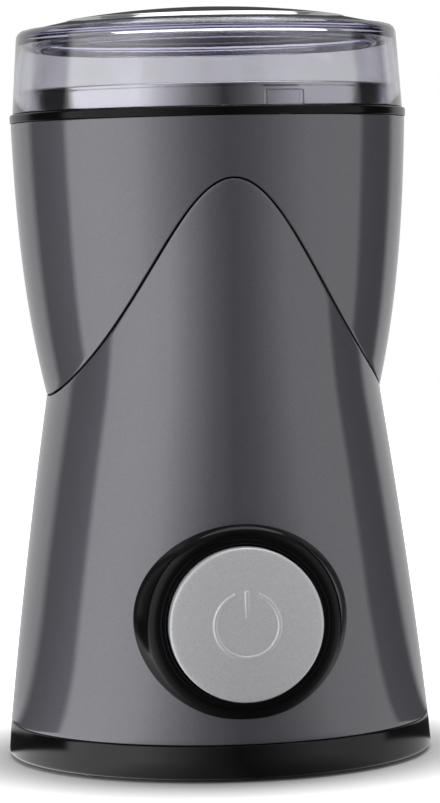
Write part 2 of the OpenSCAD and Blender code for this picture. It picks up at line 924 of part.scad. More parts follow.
module bezel_screws() {
    color("silver")
        on_button_axis()
            around(bezel_angles, bezel_screw_at)
                translate([0, 0, pad_front - pad_t - seat_gap])
                    mirror([0, 0, 1])
                        screw(bezel_screw_r, bezel_screw_l, bezel_head_r, bezel_head_h);
}

module button_cap() {
    rise = button_crown;
    steps = dome_steps;
    dome_r = button_r - button_rim;
    face = [for (i = [steps:-1:0]) [dome_r * i / steps, button_front + rise * (1 - pow(i / steps, 2))]];
    inner = button_r - cap_t;
    outline = concat(
        [[inner, skirt_back], [button_r, skirt_back], [button_r, button_front - button_rim]],
        face,
        [[0, button_front - cap_t], [inner, button_front - cap_t]]);
    color("silver")
        on_button_axis()
            union() {
                rotate_extrude()
                    polygon(outline);
                translate([0, 0, button_front])
                    linear_extrude(height = rise + sign_proud)
                        sign();
            }
}

// Raised standby sign: an open ring with an upright bar in its opening.
module sign() {
    difference() {
        circle(r = sign_r + sign_w / 2);
        circle(r = sign_r - sign_w / 2);
        translate([-sign_opening / 2, 0])
            square([sign_opening, 2 * sign_r]);
    }
    translate([-sign_w / 2, sign_w])
        square([sign_w, sign_r - sign_w / 2]);
}

module button_carrier() {
    disc_back = carrier_front - carrier_t;
    leg_back = pad_front - pad_t - barb - seat_gap;
    color("#3a3a3c")
        on_button_axis() {
            translate([0, 0, disc_back])
                cylinder(r = carrier_r, h = carrier_t);
            translate([0, 0, carrier_front - over])
                cylinder(r = stem_r + 2, h = button_front - cap_t - seat_gap - carrier_front + over);
            translate([0, 0, stem_back])
                cylinder(r = stem_r, h = disc_back - stem_back + over);
            for (s = [-1, 1])
                translate([0, s * leg_at, 0]) {
                    translate([-leg_w / 2, -leg_t / 2, leg_back])
                        cube([leg_w, leg_t, disc_back - leg_back + over]);
                    translate([-leg_w / 2, s > 0 ? 0 : -leg_t / 2 - barb, leg_back])
                        cube([leg_w, leg_t / 2 + barb, barb]);
                }
        }
}

module button_spring() {
    length = carrier_front - carrier_t - pad_front;
    color("silver")
        on_button_axis()
            translate([0, 0, pad_front + seat_gap / 2])
                coil(spring_r, spring_wire, length - seat_gap, spring_turns);
}

module switch_body() {
    color("#202428")
        difference() {
            translate([-switch_w / 2, -switch_front, shelf_top + seat_gap])
                cube([switch_w, switch_front - switch_back, switch_h]);
            for (x = [-1, 1])
                translate([x * switch_pin_x, -switch_pin_y, shelf_top - over])
                    cylinder(r = pin_r + press_gap, h = switch_h + 3 * over, $fn = 32);
            on_button_axis()
                translate([0, 0, switch_front - button_travel - 2])
                    cylinder(r = plunger_r + run_gap, h = button_travel + 3, $fn = 32);
        }
}

module switch_plunger() {
    back = switch_front - 1.6;
    color("firebrick")
        on_button_axis()
            translate([0, 0, back])
                cylinder(r = plunger_r, h = plunger_tip - back, $fn = 32);
}

// ---------------------------------------------------------------- chassis

module chassis_tube() {
    foot = floor_z + seat_gap;
    pad_h = pad_top - pad_z;
    difference() {
        union() {
            translate([0, 0, foot])
                cylinder(r = tube_r, h = deck_z - foot + over / 2);
            translate([-pad_half_w, -pad_front, pad_z])
                cube([pad_half_w * 2, pad_front, pad_h]);
            around(base_angles, base_boss_at)
                translate([0, 0, floor_z + base_boss_h + seat_gap])
                    cylinder(r = base_boss_r, h = base_screw_l);
        }
        translate([0, 0, foot - over])
            cylinder(r = tube_r - tube_wall, h = deck_z - foot + 3 * over);
        translate([-pad_half_w + pad_t, -pad_front + pad_t, pad_z - over])
            cube([(pad_half_w - pad_t) * 2, pad_front, pad_h + 2 * over]);
        windows();
        around(base_angles, base_boss_at)
            cylinder(r = base_boss_r + loose_gap, h = floor_z + base_boss_h + seat_gap);
    }
}

// Air and assembly windows of the chassis tube.
module windows() {
    for (a = [0, 180])
        rotate([0, 0, a])
            translate([tube_r - 2 * tube_wall, -side_window_w / 2, lower_bracket_z + 1])
                cube([3 * tube_wall, side_window_w, side_window_h]);
    translate([-rear_window_w / 2, tube_r - 3 * tube_wall, rear_window_z])
        cube([rear_window_w, 4 * tube_wall, rear_window_h]);
    translate([-front_window_w / 2, -tube_r - tube_wall, pad_top + 8])
        cube([front_window_w, 4 * tube_wall, front_window_h]);
    around([60, 120, 240, 300], tube_r - 2 * tube_wall)
        translate([0, -low_window_w / 2, floor_z + 4])
            cube([3 * tube_wall, low_window_w, low_window_h]);
}

module chassis_cup() {
    corner_z = bowl_z + bowl_corner;
    low_r = bowl_r(corner_z) + cup_gap;
    top_r = bowl_r(cup_top) + cup_gap;
    rotate_extrude() {
        polygon([
            [bush_r + seat_gap, deck_z],
            [deck_r, deck_z],
            [deck_r, deck_top],
            [bush_r + seat_gap, deck_top]
        ]);
        polygon([
            [low_r, deck_z],
            [low_r + cup_wall, deck_z],
            [low_r + cup_wall, corner_z],
            [top_r + cup_wall, cup_top],
            [top_r, cup_top],
            [low_r, corner_z]
        ]);
    }
}

// Room for the bowl inside the cup.
module cup_hollow() {
    corner_z = bowl_z + bowl_corner;
    low_r = bowl_r(corner_z) + cup_gap;
    rotate_extrude()
        polygon([
            [0, deck_top],
            [low_r, deck_top],
            [low_r, corner_z],
            [bowl_r(cup_top + over) + cup_gap, cup_top + over],
            [0, cup_top + over]
        ]);
}

module ring_bosses() {
    around(ring_angles, ring_screw_at) {
        translate([0, 0, cup_top - ring_boss_h])
            cylinder(r = ring_boss_r, h = ring_boss_h);
        translate([-4, -0.8, cup_top - ring_boss_h])
            cube([4 - ring_screw_r - 0.3, 1.6, ring_boss_h]);
    }
}

module rod_eye() {
    reach = rod_at - bowl_r(eye_z) - cup_gap - cup_wall / 2;
    around([rod_angle], rod_at) {
        translate([0, 0, eye_z])
            cylinder(r = eye_r, h = eye_h);
        translate([-reach, -eye_r, eye_z])
            cube([reach, 2 * eye_r, eye_h]);
    }
}

module switch_shelf() {
    half = switch_w / 2 + 1;
    wing = pad_half_w - half;
    translate([-half, -pad_front + pad_t / 2, shelf_z])
        cube([2 * half, pad_front - pad_t / 2 - switch_back + 1, shelf_t]);
    for (x = [-1, 1]) {
        translate([x * switch_pin_x, -switch_pin_y, shelf_z])
            cylinder(r = pin_r, h = shelf_t + switch_h + 0.5, $fn = 32);
        translate([x * (pad_half_w + half - 1) / 2 - wing / 2, -pad_front + pad_t / 2, shelf_z])
            cube([wing, shelf_wing_d, shelf_t]);
    }
}

module micro_pins() {
    around([rod_angle], micro_at)
        for (y = [-1, 1])
            translate([0, y * micro_pin_x, deck_z])
                cylinder(r = 0.75, h = deck_t + micro_h * 0.6, $fn = 24);
}

module chassis() {
    color("#3c3f44")
        difference() {
            union() {
                chassis_tube();
                chassis_cup();
                ring_bosses();
                rod_eye();
                switch_shelf();
                micro_pins();
            }
            cup_hollow();
            around(base_angles, base_boss_at)
                cylinder(r = base_screw_r + press_gap, h = floor_z + base_screw_l + over, $fn = 32);
            around(ring_angles, ring_screw_at)
                translate([0, 0, cup_top - ring_boss_h])
                    cylinder(r = ring_screw_r + press_gap, h = ring_boss_h + over, $fn = 24);
            around([rod_angle], rod_at)
                translate([0, 0, eye_z - over])
                    cylinder(r = rod_r + run_gap, h = eye_h + 2 * over, $fn = 32);
            on_button_axis() {
                translate([0, 0, pad_front - pad_t - over])
                    cylinder(r = stem_r + loose_gap, h = pad_t + 2 * over, $fn = 48);
                around(bezel_angles, bezel_screw_at)
                    translate([0, 0, pad_front - pad_t - over])
                        cylinder(r = bezel_screw_r + press_gap, h = pad_t + 2 * over, $fn = 24);
                for (s = [-1, 1])
                    translate([0, s * leg_at, pad_front - pad_t / 2])
                        cube([leg_w + 2 * loose_gap, leg_t + 2 * loose_gap, pad_t + 2 * over], center = true);
            }
            for (x = [-damper_x, damper_x])
                translate([x, 0, 0]) {
                    translate([0, 0, deck_z - over])
                        cylinder(r = screw_r + press_gap, h = deck_t + 2 * over, $fn = 32);
                    translate([0, 0, deck_top - screw_head_h + 0.6])
                        cylinder(r = screw_head_r + seat_gap, h = screw_head_h, $fn = 48);
                }
        }
}

// ---------------------------------------------------------------- rotor

// One arm of the blade: a bent strip seen from the side, trimmed to its plan.
module blade_arm() {
    flat = blade_r * 0.66;
    tip = blade_r - flat;
    rise = tip * sin(blade_bend);
    reach = flat + tip * cos(blade_bend);
    lean = blade_t * tan(blade_bend / 2);
    difference() {
        intersection() {
            rotate([90, 0, 0])
                linear_extrude(height = 2 * blade_w, center = true)
                    polygon([[0, 0], [flat, 0], [reach, rise],
                             [reach - blade_t * sin(blade_bend), rise + blade_t * cos(blade_bend)],
                             [flat - lean, blade_t], [0, blade_t]]);
            translate([0, 0, -over])
                linear_extrude(height = rise + blade_t + 3 * over)
                    polygon([[0, -blade_w / 2], [flat, -blade_w * 0.36], [reach + over, -blade_w * 0.18],
                             [reach + over, blade_w * 0.2], [reach - tip * 0.5, blade_w * 0.5],
                             [0, blade_w * 0.5]]);
        }
        translate([hub_r + 2, blade_w * 0.5 - edge_ground, blade_t])
            edge_bevel(flat - hub_r - 3.5);
        translate([flat, 0, 0])
            rotate([0, -blade_bend, 0])
                translate([1, blade_w * 0.5 - edge_ground, blade_t])
                    edge_bevel(tip + over);
    }
}

// Cuts the ground edge along one side of an arm.
module edge_bevel(length) {
    rotate([-28, 0, 0])
        cube([length, 3, 3]);
}

module blade() {
    color("silver")
        translate([0, 0, blade_z])
            difference() {
                union() {
                    cylinder(r = hub_r + 0.5, h = blade_t);
                    for (a = [35, 215])
                        rotate([0, 0, a])
                            blade_arm();
                }
                translate([0, 0, -over])
                    cylinder(r = thread_r + press_gap, h = 8);
            }
}

module blade_hub() {
    color("#2c2c2e")
        ring(shaft_r + press_gap, hub_r, hub_z, hub_h - press_gap);
}

module blade_nut() {
    color("#2c2c2e")
        translate([0, 0, blade_z + blade_t + press_gap])
            difference() {
                rotate_extrude()
                    polygon(concat([[0, 0], [blade_nut_r, 0]],
                                   arc(blade_nut_r - 2, blade_nut_h - 2, 2, 0, 90), [[0, blade_nut_h]]));
                translate([0, 0, -over])
                    cylinder(r = thread_r + press_gap, h = blade_nut_h - 1 + over);
            }
}

module shaft() {
    color("lightgray") {
        translate([0, 0, shaft_z])
            cylinder(r = shaft_r, h = blade_z - shaft_z);
        translate([0, 0, blade_z - over])
            cylinder(r = thread_r, h = shaft_top - blade_z + over);
    }
}

module armature_slots_2d(r, mouth) {
    for (i = [0:armature_slots - 1])
        rotate([0, 0, 360 * i / armature_slots]) {
            translate([armature_r - 3.4, 0])
                circle(r = r, $fn = 24);
            if (mouth > 0)
                translate([armature_r - 3.4, -mouth / 2])
                    square([5, mouth]);
        }
}

module armature_core() {
    color("slategray")
        translate([0, 0, stator_z])
            linear_extrude(height = stator_h)
                difference() {
                    circle(r = armature_r);
                    circle(r = shaft_r + press_gap);
                    armature_slots_2d(2, 1.4);
                }
}

module winding_head(z) {
    translate([0, 0, z])
        rotate_extrude()
            polygon(concat([[shaft_r + 1.2, 0], [winding_r, 0]], arc(winding_r - 2, head_h - 2, 2, 0, 90),
                           [[shaft_r + 1.2, head_h]]));
}

module armature_windings() {
    color("#b5622b")
        union() {
            winding_head(stator_top + winding_gap);
            translate([0, 0, 2 * stator_z - winding_gap])
                mirror([0, 0, 1])
                    winding_head(stator_z);
            translate([0, 0, stator_z - 1])
                linear_extrude(height = stator_h + 2)
                    armature_slots_2d(1.85, 0);
        }
}

module commutator() {
    slit = 0.5;
    color("#c77a3a")
        difference() {
            union() {
                translate([0, 0, commutator_z])
                    cylinder(r = commutator_r, h = commutator_h);
                translate([0, 0, commutator_z + commutator_h - 0.1])
                    cylinder(r = commutator_r + 1.5, h = 1.8);
            }
            translate([0, 0, commutator_z - over])
                cylinder(r = shaft_r + press_gap, h = commutator_h + 4);
            for (i = [0:commutator_bars - 1])
                rotate([0, 0, 360 * (i + 0.5) / commutator_bars])
                    translate([commutator_r - 0.8, -slit / 2, commutator_z - over])
                        cube([4, slit, commutator_h + 4]);
        }
}

module cooling_fan() {
    hub = shaft_r + 3;
    color("ivory")
        difference() {
            union() {
                translate([0, 0, fan_z])
                    cylinder(r = hub, h = fan_h);
                translate([0, 0, fan_top - 1.2])
                    cylinder(r = fan_r, h = 1.2);
                for (i = [0:fan_blades - 1])
                    rotate([0, 0, 360 * i / fan_blades])
                        translate([hub - 0.6, 0, fan_z + 0.6])
                            rotate([0, 0, -14])
                                cube([fan_r - hub - 0.4, 1.1, fan_h - 1.2]);
            }
            translate([0, 0, fan_z - over])
                cylinder(r = shaft_r + press_gap, h = fan_h + 2 * over);
        }
}

// ---------------------------------------------------------------- stator

module rounded_bar(length, half) {
    square([2 * (length - half), 2 * half], center = true);
    for (s = [-1, 1])
        translate([s * (length - half), 0])
            circle(r = half);
}

// Bracket: one bar carries the dampers or brush holders, the other the long screws.
module bracket(x_reach, pillar_z, pillar_h, boss_z, boss_h, plate_z) {
    difference() {
        union() {
            translate([0, 0, plate_z])
                linear_extrude(height = bracket_t) {
                    rounded_bar(x_reach, arm_half);
                    rotate([0, 0, 90])
                        rounded_bar(motor_screw_y + pillar_r + 1, pillar_r + 1);
                }
            translate([0, 0, boss_z])
                cylinder(r = boss_r, h = boss_h);
            for (y = [-motor_screw_y, motor_screw_y])
                translate([0, y, pillar_z])
                    cylinder(r = pillar_r, h = pillar_h);
        }
        translate([0, 0, boss_z - over])
            cylinder(r = bearing_r + press_gap, h = boss_h + 2 * over);
        for (y = [-motor_screw_y, motor_screw_y])
            translate([0, y, plate_z - 60])
                cylinder(r = screw_r + press_gap, h = 120, $fn = 32);
        for (x = [-damper_x, damper_x])
            translate([x, 0, plate_z - over])
                cylinder(r = screw_r + press_gap, h = bracket_t + 2 * over, $fn = 32);
    }
}

module upper_bracket() {
    color("#a9abae")
        bracket(damper_x + 4, stator_top, pillar_up + 0.5, upper_bracket_z - boss_up,
                bracket_t + boss_up, upper_bracket_z);
}

module lower_bracket() {
    color("#a9abae")
        bracket(damper_x + 4, lower_bracket_top - 0.5, pillar_down + 0.5, lower_bracket_z - boss_down,
                bracket_t + boss_down, lower_bracket_z);
}

module upper_bush() {
    color("#a8762e")
        ring(shaft_r + run_gap, bearing_r, upper_bracket_z - boss_up, bracket_t + boss_up);
}

module lower_bush() {
    color("#a8762e")
        ring(shaft_r + run_gap, bearing_r, lower_bracket_z - boss_down, bracket_t + boss_down);
}

module stator_2d() {
    shoe_r = stator_bore + shoe_t;
    difference() {
        intersection() {
            square([stator_w, stator_d], center = true);
            circle(r = stator_round);
        }
        circle(r = stator_bore);
        square([2 * shoe_r, 9], center = true);
        difference() {
            square([2 * slot_half_x, 2 * slot_half_y], center = true);
            square([2 * neck_half, 2 * slot_half_y + over], center = true);
            circle(r = shoe_r);
        }
        for (y = [-motor_screw_y, motor_screw_y])
            translate([0, y])
                circle(r = screw_r + press_gap, $fn = 32);
    }
}

module stator_core() {
    color("slategray")
        translate([0, 0, stator_z])
            linear_extrude(height = stator_h)
                stator_2d();
}

module field_coils() {
    inner_x = neck_half + coil_gap;
    outer_x = slot_half_x - coil_gap;
    inner_z = stator_h / 2 + coil_gap;
    outer_z = inner_z + coil_end;
    y1 = slot_half_y - coil_gap;
    y0 = y1 - coil_w;
    color("#b5622b")
        translate([0, 0, stator_z + stator_h / 2])
            difference() {
                for (s = [-1, 1])
                    translate([0, s * (y0 + y1) / 2, 0])
                        rotate([90, 0, 0])
                            linear_extrude(height = y1 - y0, center = true)
                                difference() {
                                    round_box(outer_x, outer_z, 4);
                                    round_box(inner_x, inner_z, 1);
                                }
                cylinder(r = stator_bore + shoe_t + coil_gap, h = 2 * inner_z, center = true);
                cylinder(r = winding_r + 1, h = 3 * outer_z, center = true);
            }
}

module round_box(half_x, half_y, r) {
    square([2 * half_x, 2 * (half_y - r)], center = true);
    square([2 * (half_x - r), 2 * half_y], center = true);
    for (x = [-1, 1])
        for (y = [-1, 1])
            translate([x * (half_x - r), y * (half_y - r)])
                circle(r = r, $fn = 32);
}

module motor_screws() {
    low = lower_bracket_z - screw_head_h;
    length = upper_bracket_z + bracket_t - low;
    color("silver")
        for (y = [-motor_screw_y, motor_screw_y])
            translate([0, y, 0]) {
                translate([0, 0, upper_bracket_z + bracket_t])
                    screw(screw_r, length, screw_head_r, screw_head_h);
                translate([0, 0, low])
                    cylinder(r = screw_head_r, h = screw_head_h, $fn = 6);
            }
}

module motor_dampers() {
    color("#2a2a2a")
        for (x = [-damper_x, damper_x])
            translate([x, 0, 0])
                ring(screw_r + press_gap, damper_r, upper_bracket_z + bracket_t, damper_t);
}

module bracket_screws() {
    color("silver")
        for (x = [-damper_x, damper_x])
            translate([x, 0, deck_top - screw_head_h + 0.7])
                screw(screw_r, deck_t + damper_t + bracket_t - 1, screw_head_r, screw_head_h - 0.8);
}

// Copies for the two brushes, with +X outwards.
module both_brushes() {
    for (a = [0, 180])
        rotate([0, 0, a])
            translate([0, 0, brush_z])
                children();
}

module brushes() {
    color("#303236")
        difference() {
            both_brushes()
                translate([commutator_r - 1, -brush_w / 2, -brush_h / 2])
                    cube([brush_l + 1, brush_w, brush_h]);
            translate([0, 0, commutator_z])
                cylinder(r = commutator_r + brush_gap, h = commutator_h);
        }
}

module brush_holders() {
    w = brush_w + 2 * seat_gap;
    h = brush_h + 2 * seat_gap;
    post_z = lower_bracket_top - brush_z;
    color("#b08d3c")
        both_brushes()
            difference() {
                union() {
                    translate([holder_from, -w / 2 - holder_wall, -h / 2 - holder_wall])
                        cube([holder_to - holder_from, w + 2 * holder_wall, h + 2 * holder_wall]);
                    translate([holder_from + 2, -2.5, post_z + seat_gap / 2])
                        cube([9, 5, -post_z - h / 2]);
                }
                translate([holder_from - over, -w / 2, -h / 2])
                    cube([holder_to - holder_from + over - holder_wall, w, h]);
            }
}

module brush_springs() {
    from = commutator_r + brush_l + seat_gap;
    color("silver")
        both_brushes()
            translate([from, 0, 0])
                rotate([0, 90, 0])
                    coil(brush_spring_r, brush_spring_wire, holder_to - holder_wall - seat_gap - from, 4);
}

// ---------------------------------------------------------------- interlock

module interlock_rod() {
    color("ivory")
        around([rod_angle], 0) {
            rotate([0, 0, -rod_head_span / 2])
                rotate_extrude(angle = rod_head_span)
                    translate([rod_head_from, rod_head_top - rod_head_h - 2])
                        square([rod_head_t, rod_head_h + 2]);
            translate([rod_at - rod_r, -1.3, rod_arm_z])
                cube([rod_head_from + rod_head_t - 0.2 - rod_at + rod_r, 2.6, rod_arm_h]);
            translate([rod_at, 0, rod_z])
                cylinder(r = rod_r, h = rod_arm_z - rod_z + over, $fn = 32);
            translate([rod_at, 0, rod_collar_z])
                cylinder(r = rod_collar_r, h = 1, $fn = 32);
            translate([micro_at - 1, -rod_r, rod_z])
                cube([rod_at - micro_at + 1, 2 * rod_r, 1.4]);
        }
}

module interlock_spring() {
    low = eye_z + eye_h;
    color("silver")
        around([rod_angle], rod_at)
            translate([0, 0, low + seat_gap / 2])
                coil(rod_spring_r, rod_spring_wire, rod_collar_z - low - seat_gap, 4);
}

module interlock_switch() {
    color("#202428")
        around([rod_angle], micro_at)
            difference() {
                translate([-micro_d / 2, -micro_w / 2, deck_top + seat_gap / 2])
                    cube([micro_d, micro_w, micro_h]);
                for (y = [-1, 1])
                    translate([0, y * micro_pin_x, deck_top - over])
                        cylinder(r = 0.75 + press_gap, h = micro_h * 0.6 + 1.2 * over, $fn = 24);
                translate([0, 0, deck_top + micro_h - rod_travel - 1])
                    cylinder(r = 0.6 + run_gap, h = rod_travel + 3, $fn = 24);
            }
}

module interlock_plunger() {
    top = deck_top + micro_h + micro_plunger_h;
    color("firebrick")
        around([rod_angle], micro_at)
            translate([0, 0, top - micro_plunger_h - rod_travel + 0.4])
                cylinder(r = 0.6, h = micro_plunger_h + rod_travel - 0.4, $fn = 24);
}

// ---------------------------------------------------------------- electrics

module circuit_board() {
    color("#2f6b46")
        difference() {
            translate([-board_w / 2, board_y - board_d / 2, board_z])
                cube([board_w, board_d, board_t]);
            for (x = [-1, 1])
                translate([x * board_screw_x, board_y, board_z - over])
                    cylinder(r = board_screw_r + press_gap, h = board_t + 2 * over, $fn = 24);
        }
}

module board_screws() {
    color("silver")
        for (x = [-1, 1])
            translate([x * board_screw_x, board_y, board_top + seat_gap / 2])
                screw(board_screw_r, board_screw_l, board_head_r, board_head_h);
}

module capacitor() {
    color("#d8b12c")
        translate([-8, board_y - 7, board_top + seat_gap / 2])
            cube([16, 6, 6]);
}

module terminal_block() {
    color("#e7e7e2")
        difference() {
            translate([-7.5, board_y + 1, board_top + seat_gap / 2])
                cube([15, 6.5, 6]);
            for (x = [-1, 0, 1])
                translate([x * 5, board_y + 4.2, board_top + 2.5])
                    cylinder(r = 1.3, h = 5, $fn = 24);
        }
}

module thermal_fuse() {
    color("#c9c4b4")
        translate([-fuse_l / 2, slot_half_y - coil_gap - coil_w / 2,
                   stator_top + coil_gap + coil_end + fuse_r + seat_gap / 2])
            rotate([0, 90, 0])
                cylinder(r = fuse_r, h = fuse_l, $fn = 32);
}

lid();
lid_disc();
bowl();
trim_ring();
upper_shell();
lower_shell();
bezel();
button_cap();
button_carrier();
button_spring();
switch_body();
switch_plunger();
base();
rubber_feet();
base_screws();
cord_grommet();
chassis();
bowl_gasket();
bowl_nut();
drive_bush();
shaft_seal();
blade();
blade_hub();
blade_nut();
shaft();
upper_bracket();
lower_bracket();
upper_bush();
lower_bush();
stator_core();
field_coils();
armature_core();
armature_windings();
commutator();
brushes();
brush_holders();
brush_springs();
cooling_fan();
motor_screws();
motor_dampers();
bracket_screws();
ring_screws();
bezel_screws();
interlock_rod();
interlock_spring();
interlock_switch();
interlock_plunger();
circuit_board();
capacitor();
terminal_block();
thermal_fuse();
board_screws();
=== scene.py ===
"""Spice grinder: the visible pieces, their finishes and the studio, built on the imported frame."""

import math
from functools import partial

import bmesh
import bpy
from bpy.props import FloatProperty, FloatVectorProperty, IntProperty, PointerProperty
from mathutils import Matrix, Vector


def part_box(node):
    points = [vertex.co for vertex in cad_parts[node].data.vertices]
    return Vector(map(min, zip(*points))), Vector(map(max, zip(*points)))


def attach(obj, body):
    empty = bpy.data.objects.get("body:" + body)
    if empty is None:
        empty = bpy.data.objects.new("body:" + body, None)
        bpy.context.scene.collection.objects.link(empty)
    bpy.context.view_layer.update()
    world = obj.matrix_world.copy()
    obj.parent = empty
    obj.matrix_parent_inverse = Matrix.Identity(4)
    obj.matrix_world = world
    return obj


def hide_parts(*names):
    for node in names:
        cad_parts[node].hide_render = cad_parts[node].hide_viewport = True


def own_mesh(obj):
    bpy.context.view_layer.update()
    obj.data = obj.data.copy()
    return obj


bl_info = {
    "name": "Spice Grinder",
    "version": (1, 0, 0),
    "blender": (4, 5, 0),
    "location": "3D View > Sidebar > Grinder",
    "description": "Builds an electric spice grinder piece by piece on its packed frame",
    "category": "Object",
}

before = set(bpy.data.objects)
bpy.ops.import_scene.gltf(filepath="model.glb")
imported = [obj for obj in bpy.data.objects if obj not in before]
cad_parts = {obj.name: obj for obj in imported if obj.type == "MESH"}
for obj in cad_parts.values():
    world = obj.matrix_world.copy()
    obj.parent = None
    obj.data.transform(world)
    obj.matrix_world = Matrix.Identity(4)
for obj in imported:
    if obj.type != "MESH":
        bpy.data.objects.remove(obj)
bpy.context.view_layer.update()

TURN = 2 * math.pi
# Gap between two faces that rest on each other, in millimetres.
SEAT_GAP = 0.1
# Direction of the lid's tab round Z, in degrees from +X.
TAB_TURN = 286
# Powers of the curves of the upper shell's flare and of the tongues.
FLARE_POWER = 2.6
TONGUE_POWER = 2.55
# Steps of a rounded edge on the button's sign.
SIGN_STEPS = 5
# Edges that turn further than this, in degrees, are shaded as sharp.
SHARP_TURN = 32.0


def low(node):
    """Lowest corner of a CAD node, in millimetres."""
    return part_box(node)[0] * 1000


def high(node):
    """Highest corner of a CAD node, in millimetres."""
    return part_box(node)[1] * 1000


# ---------------- settings


def length(name, description, millimetres):
    """A length that the user can change, stored in metres."""
    return FloatProperty(
        name=name,
        description=description,
        default=millimetres / 1000,
        min=0.0,
        precision=5,
        subtype="DISTANCE",
        unit="LENGTH",
    )


def colour(name, description, value):
    """A colour that the user can change."""
    return FloatVectorProperty(
        name=name,
        description=description,
        default=value,
        size=3,
        min=0.0,
        max=1.0,
        subtype="COLOR",
    )


class GrinderSizes(bpy.types.PropertyGroup):
    """Sizes of the grinder's outer forms."""

    base_top_r: length("Base top radius", "Radius where the base meets the lower shell", 49.3)
    base_top_z: length("Base top height", "Height of the joint between base and shell", 8.4)
    waist_z: length("Waist height", "Height where the two shells meet at the sides", 85.0)
    waist_half_w: length("Waist half width", "Half width of the housing at the waist", 39.1)
    side_bow: length("Side bow", "Outward bow of the lower shell's sides", 0.5)
    tongue_top_z: length("Tongue top", "Height of the rounded top of the tongues", 134.6)
    tongue_half_w: length("Tongue oval", "Half width of the oval that the tongues follow", 36.6)
    shell_top_z: length("Shell top", "Height of the upper shell's top edge", 148.6)
    flare: length("Flare", "Rounded part of the upper shell's flare", 4.9)
    lean: length("Lean", "Straight part of the upper shell's flare", 2.2)
    shell_wall: length("Shell wall", "Wall of the two shells", 2.0)
    seam_gap: length("Seam gap", "Gap between the two shells", 0.35)
    seam_round: length("Seam rounding", "Rounded edge of the shells along the seam", 0.35)
    button_z: length("Button height", "Height of the button's centre", 35.6)
    button_r: length("Button radius", "Radius of the button's cap", 17.3)
    bore_r: length("Bezel bore", "Radius of the bezel's opening", 17.75)
    lip_w: length("Bezel lip", "Width of the bezel's front lip", 1.3)
    bezel_round: length("Bezel shoulder", "Radius of the bezel's rounded shoulder", 2.4)
    bezel_r: length("Bezel outline", "Bezel's radius at the housing's front line", 21.9)
    sign_r: length("Sign radius", "Mean radius of the standby sign on the button", 7.25)
    sign_w: length("Sign line", "Width of the sign's lines", 1.3)
    sign_opening: length("Sign opening", "Width of the ring's opening", 5.0)


class GrinderFinish(bpy.types.PropertyGroup):
    """Colours of the grinder's finishes."""

    housing: colour("Housing", "Metallic grey of the two shells", (0.155, 0.154, 0.18))
    gloss_black: colour("Gloss black", "Black of the ring and the bezel", (0.004, 0.004, 0.0045))
    base_black: colour("Base black", "Black of the base", (0.004, 0.004, 0.0045))
    lid_tint: colour("Lid tint", "Faint tint of the clear lid", (0.97, 0.97, 0.98))
    steel: colour("Steel", "Polished steel of the bowl and the disc", (0.66, 0.66, 0.68))
    button: colour("Button", "Silver of the button", (0.86, 0.86, 0.88))


class GrinderDetail(bpy.types.PropertyGroup):
    """How finely the pieces are divided."""

    round_steps: IntProperty(
        name="Round steps", description="Steps in a full turn", default=192, min=48, max=360
    )
    corner_steps: IntProperty(
        name="Corner steps", description="Steps in a rounded edge", default=4, min=1, max=12
    )


class Millimetres:
    """The sizes as plain numbers in millimetres."""

    def __init__(self, group):
        for key in GrinderSizes.__annotations__:
            setattr(self, key, getattr(group, key) * 1000)


def sizes():
    return Millimetres(bpy.context.scene.grinder_sizes)


def detail():
    return bpy.context.scene.grinder_detail


# ---------------- mesh helpers


def as_mesh(bm, name="passing"):
    """Turns a bmesh into a mesh, and frees it."""
    mesh = bpy.data.meshes.new(name)
    bm.to_mesh(mesh)
    bm.free()
    return mesh


def link(bm, name):
    """Turns a bmesh in millimetres into an object in metres, with its place in its mesh."""
    bmesh.ops.scale(bm, vec=(0.001, 0.001, 0.001), verts=bm.verts)
    mesh = as_mesh(bm, name)
    mesh.shade_smooth()
    mesh.set_sharp_from_angle(angle=math.radians(SHARP_TURN))
    piece = bpy.data.objects.new(name, mesh)
    bpy.context.scene.collection.objects.link(piece)
    return piece


def dress(bm, name, finish, body, slot, *nodes):
    """Makes a piece, with its finish, its body and the CAD nodes that it stands for."""
    piece = link(bm, name)
    piece.data.materials.append(finish_named(finish))
    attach(piece, body)
    if nodes:
        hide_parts(*nodes)
    return piece


def move(bm, x=0.0, y=0.0, z=0.0):
    bmesh.ops.translate(bm, vec=(x, y, z), verts=bm.verts)


def turn(bm, degrees, axis, verts=None):
    """Turns a shape, or some of its points, round an axis through the origin."""
    matrix = Matrix.Rotation(math.radians(degrees), 3, axis)
    bmesh.ops.rotate(bm, cent=(0, 0, 0), matrix=matrix, verts=verts or bm.verts)


def face_front(bm, height):
    """Turns a shape's +Z to the front, -Y, and lifts its axis to a height."""
    turn(bm, 90, "X")
    move(bm, z=height)


def face_back(bm, height):
    """Turns a shape's +Z to the back, +Y, and lifts its axis to a height."""
    face_front(bm, 0)
    turn(bm, 180, "Z")
    move(bm, z=height)


def bevel(bm, geom, radius, affect, segments):
    """Rounds points or edges by a radius."""
    bmesh.ops.bevel(
        bm,
        geom=geom,
        offset=radius,
        offset_type="OFFSET",
        segments=segments,
        profile=0.5,
        affect=affect,
        clamp_overlap=True,
        material=-1,
    )


def soften(bm, radius, angle=40.0, segments=3):
    """Rounds every edge that is sharper than an angle."""
    limit = math.radians(angle)
    edges = [e for e in bm.edges if len(e.link_faces) == 2 and e.calc_face_angle(0) > limit]
    bevel(bm, edges, radius, "EDGES", segments)


def close_up(bm, distance=0.0005):
    """Merges doubled points and turns every face outwards."""
    bmesh.ops.remove_doubles(bm, verts=bm.verts, dist=distance)
    bmesh.ops.dissolve_degenerate(bm, dist=distance, edges=bm.edges)
    bmesh.ops.recalc_face_normals(bm, faces=bm.faces)


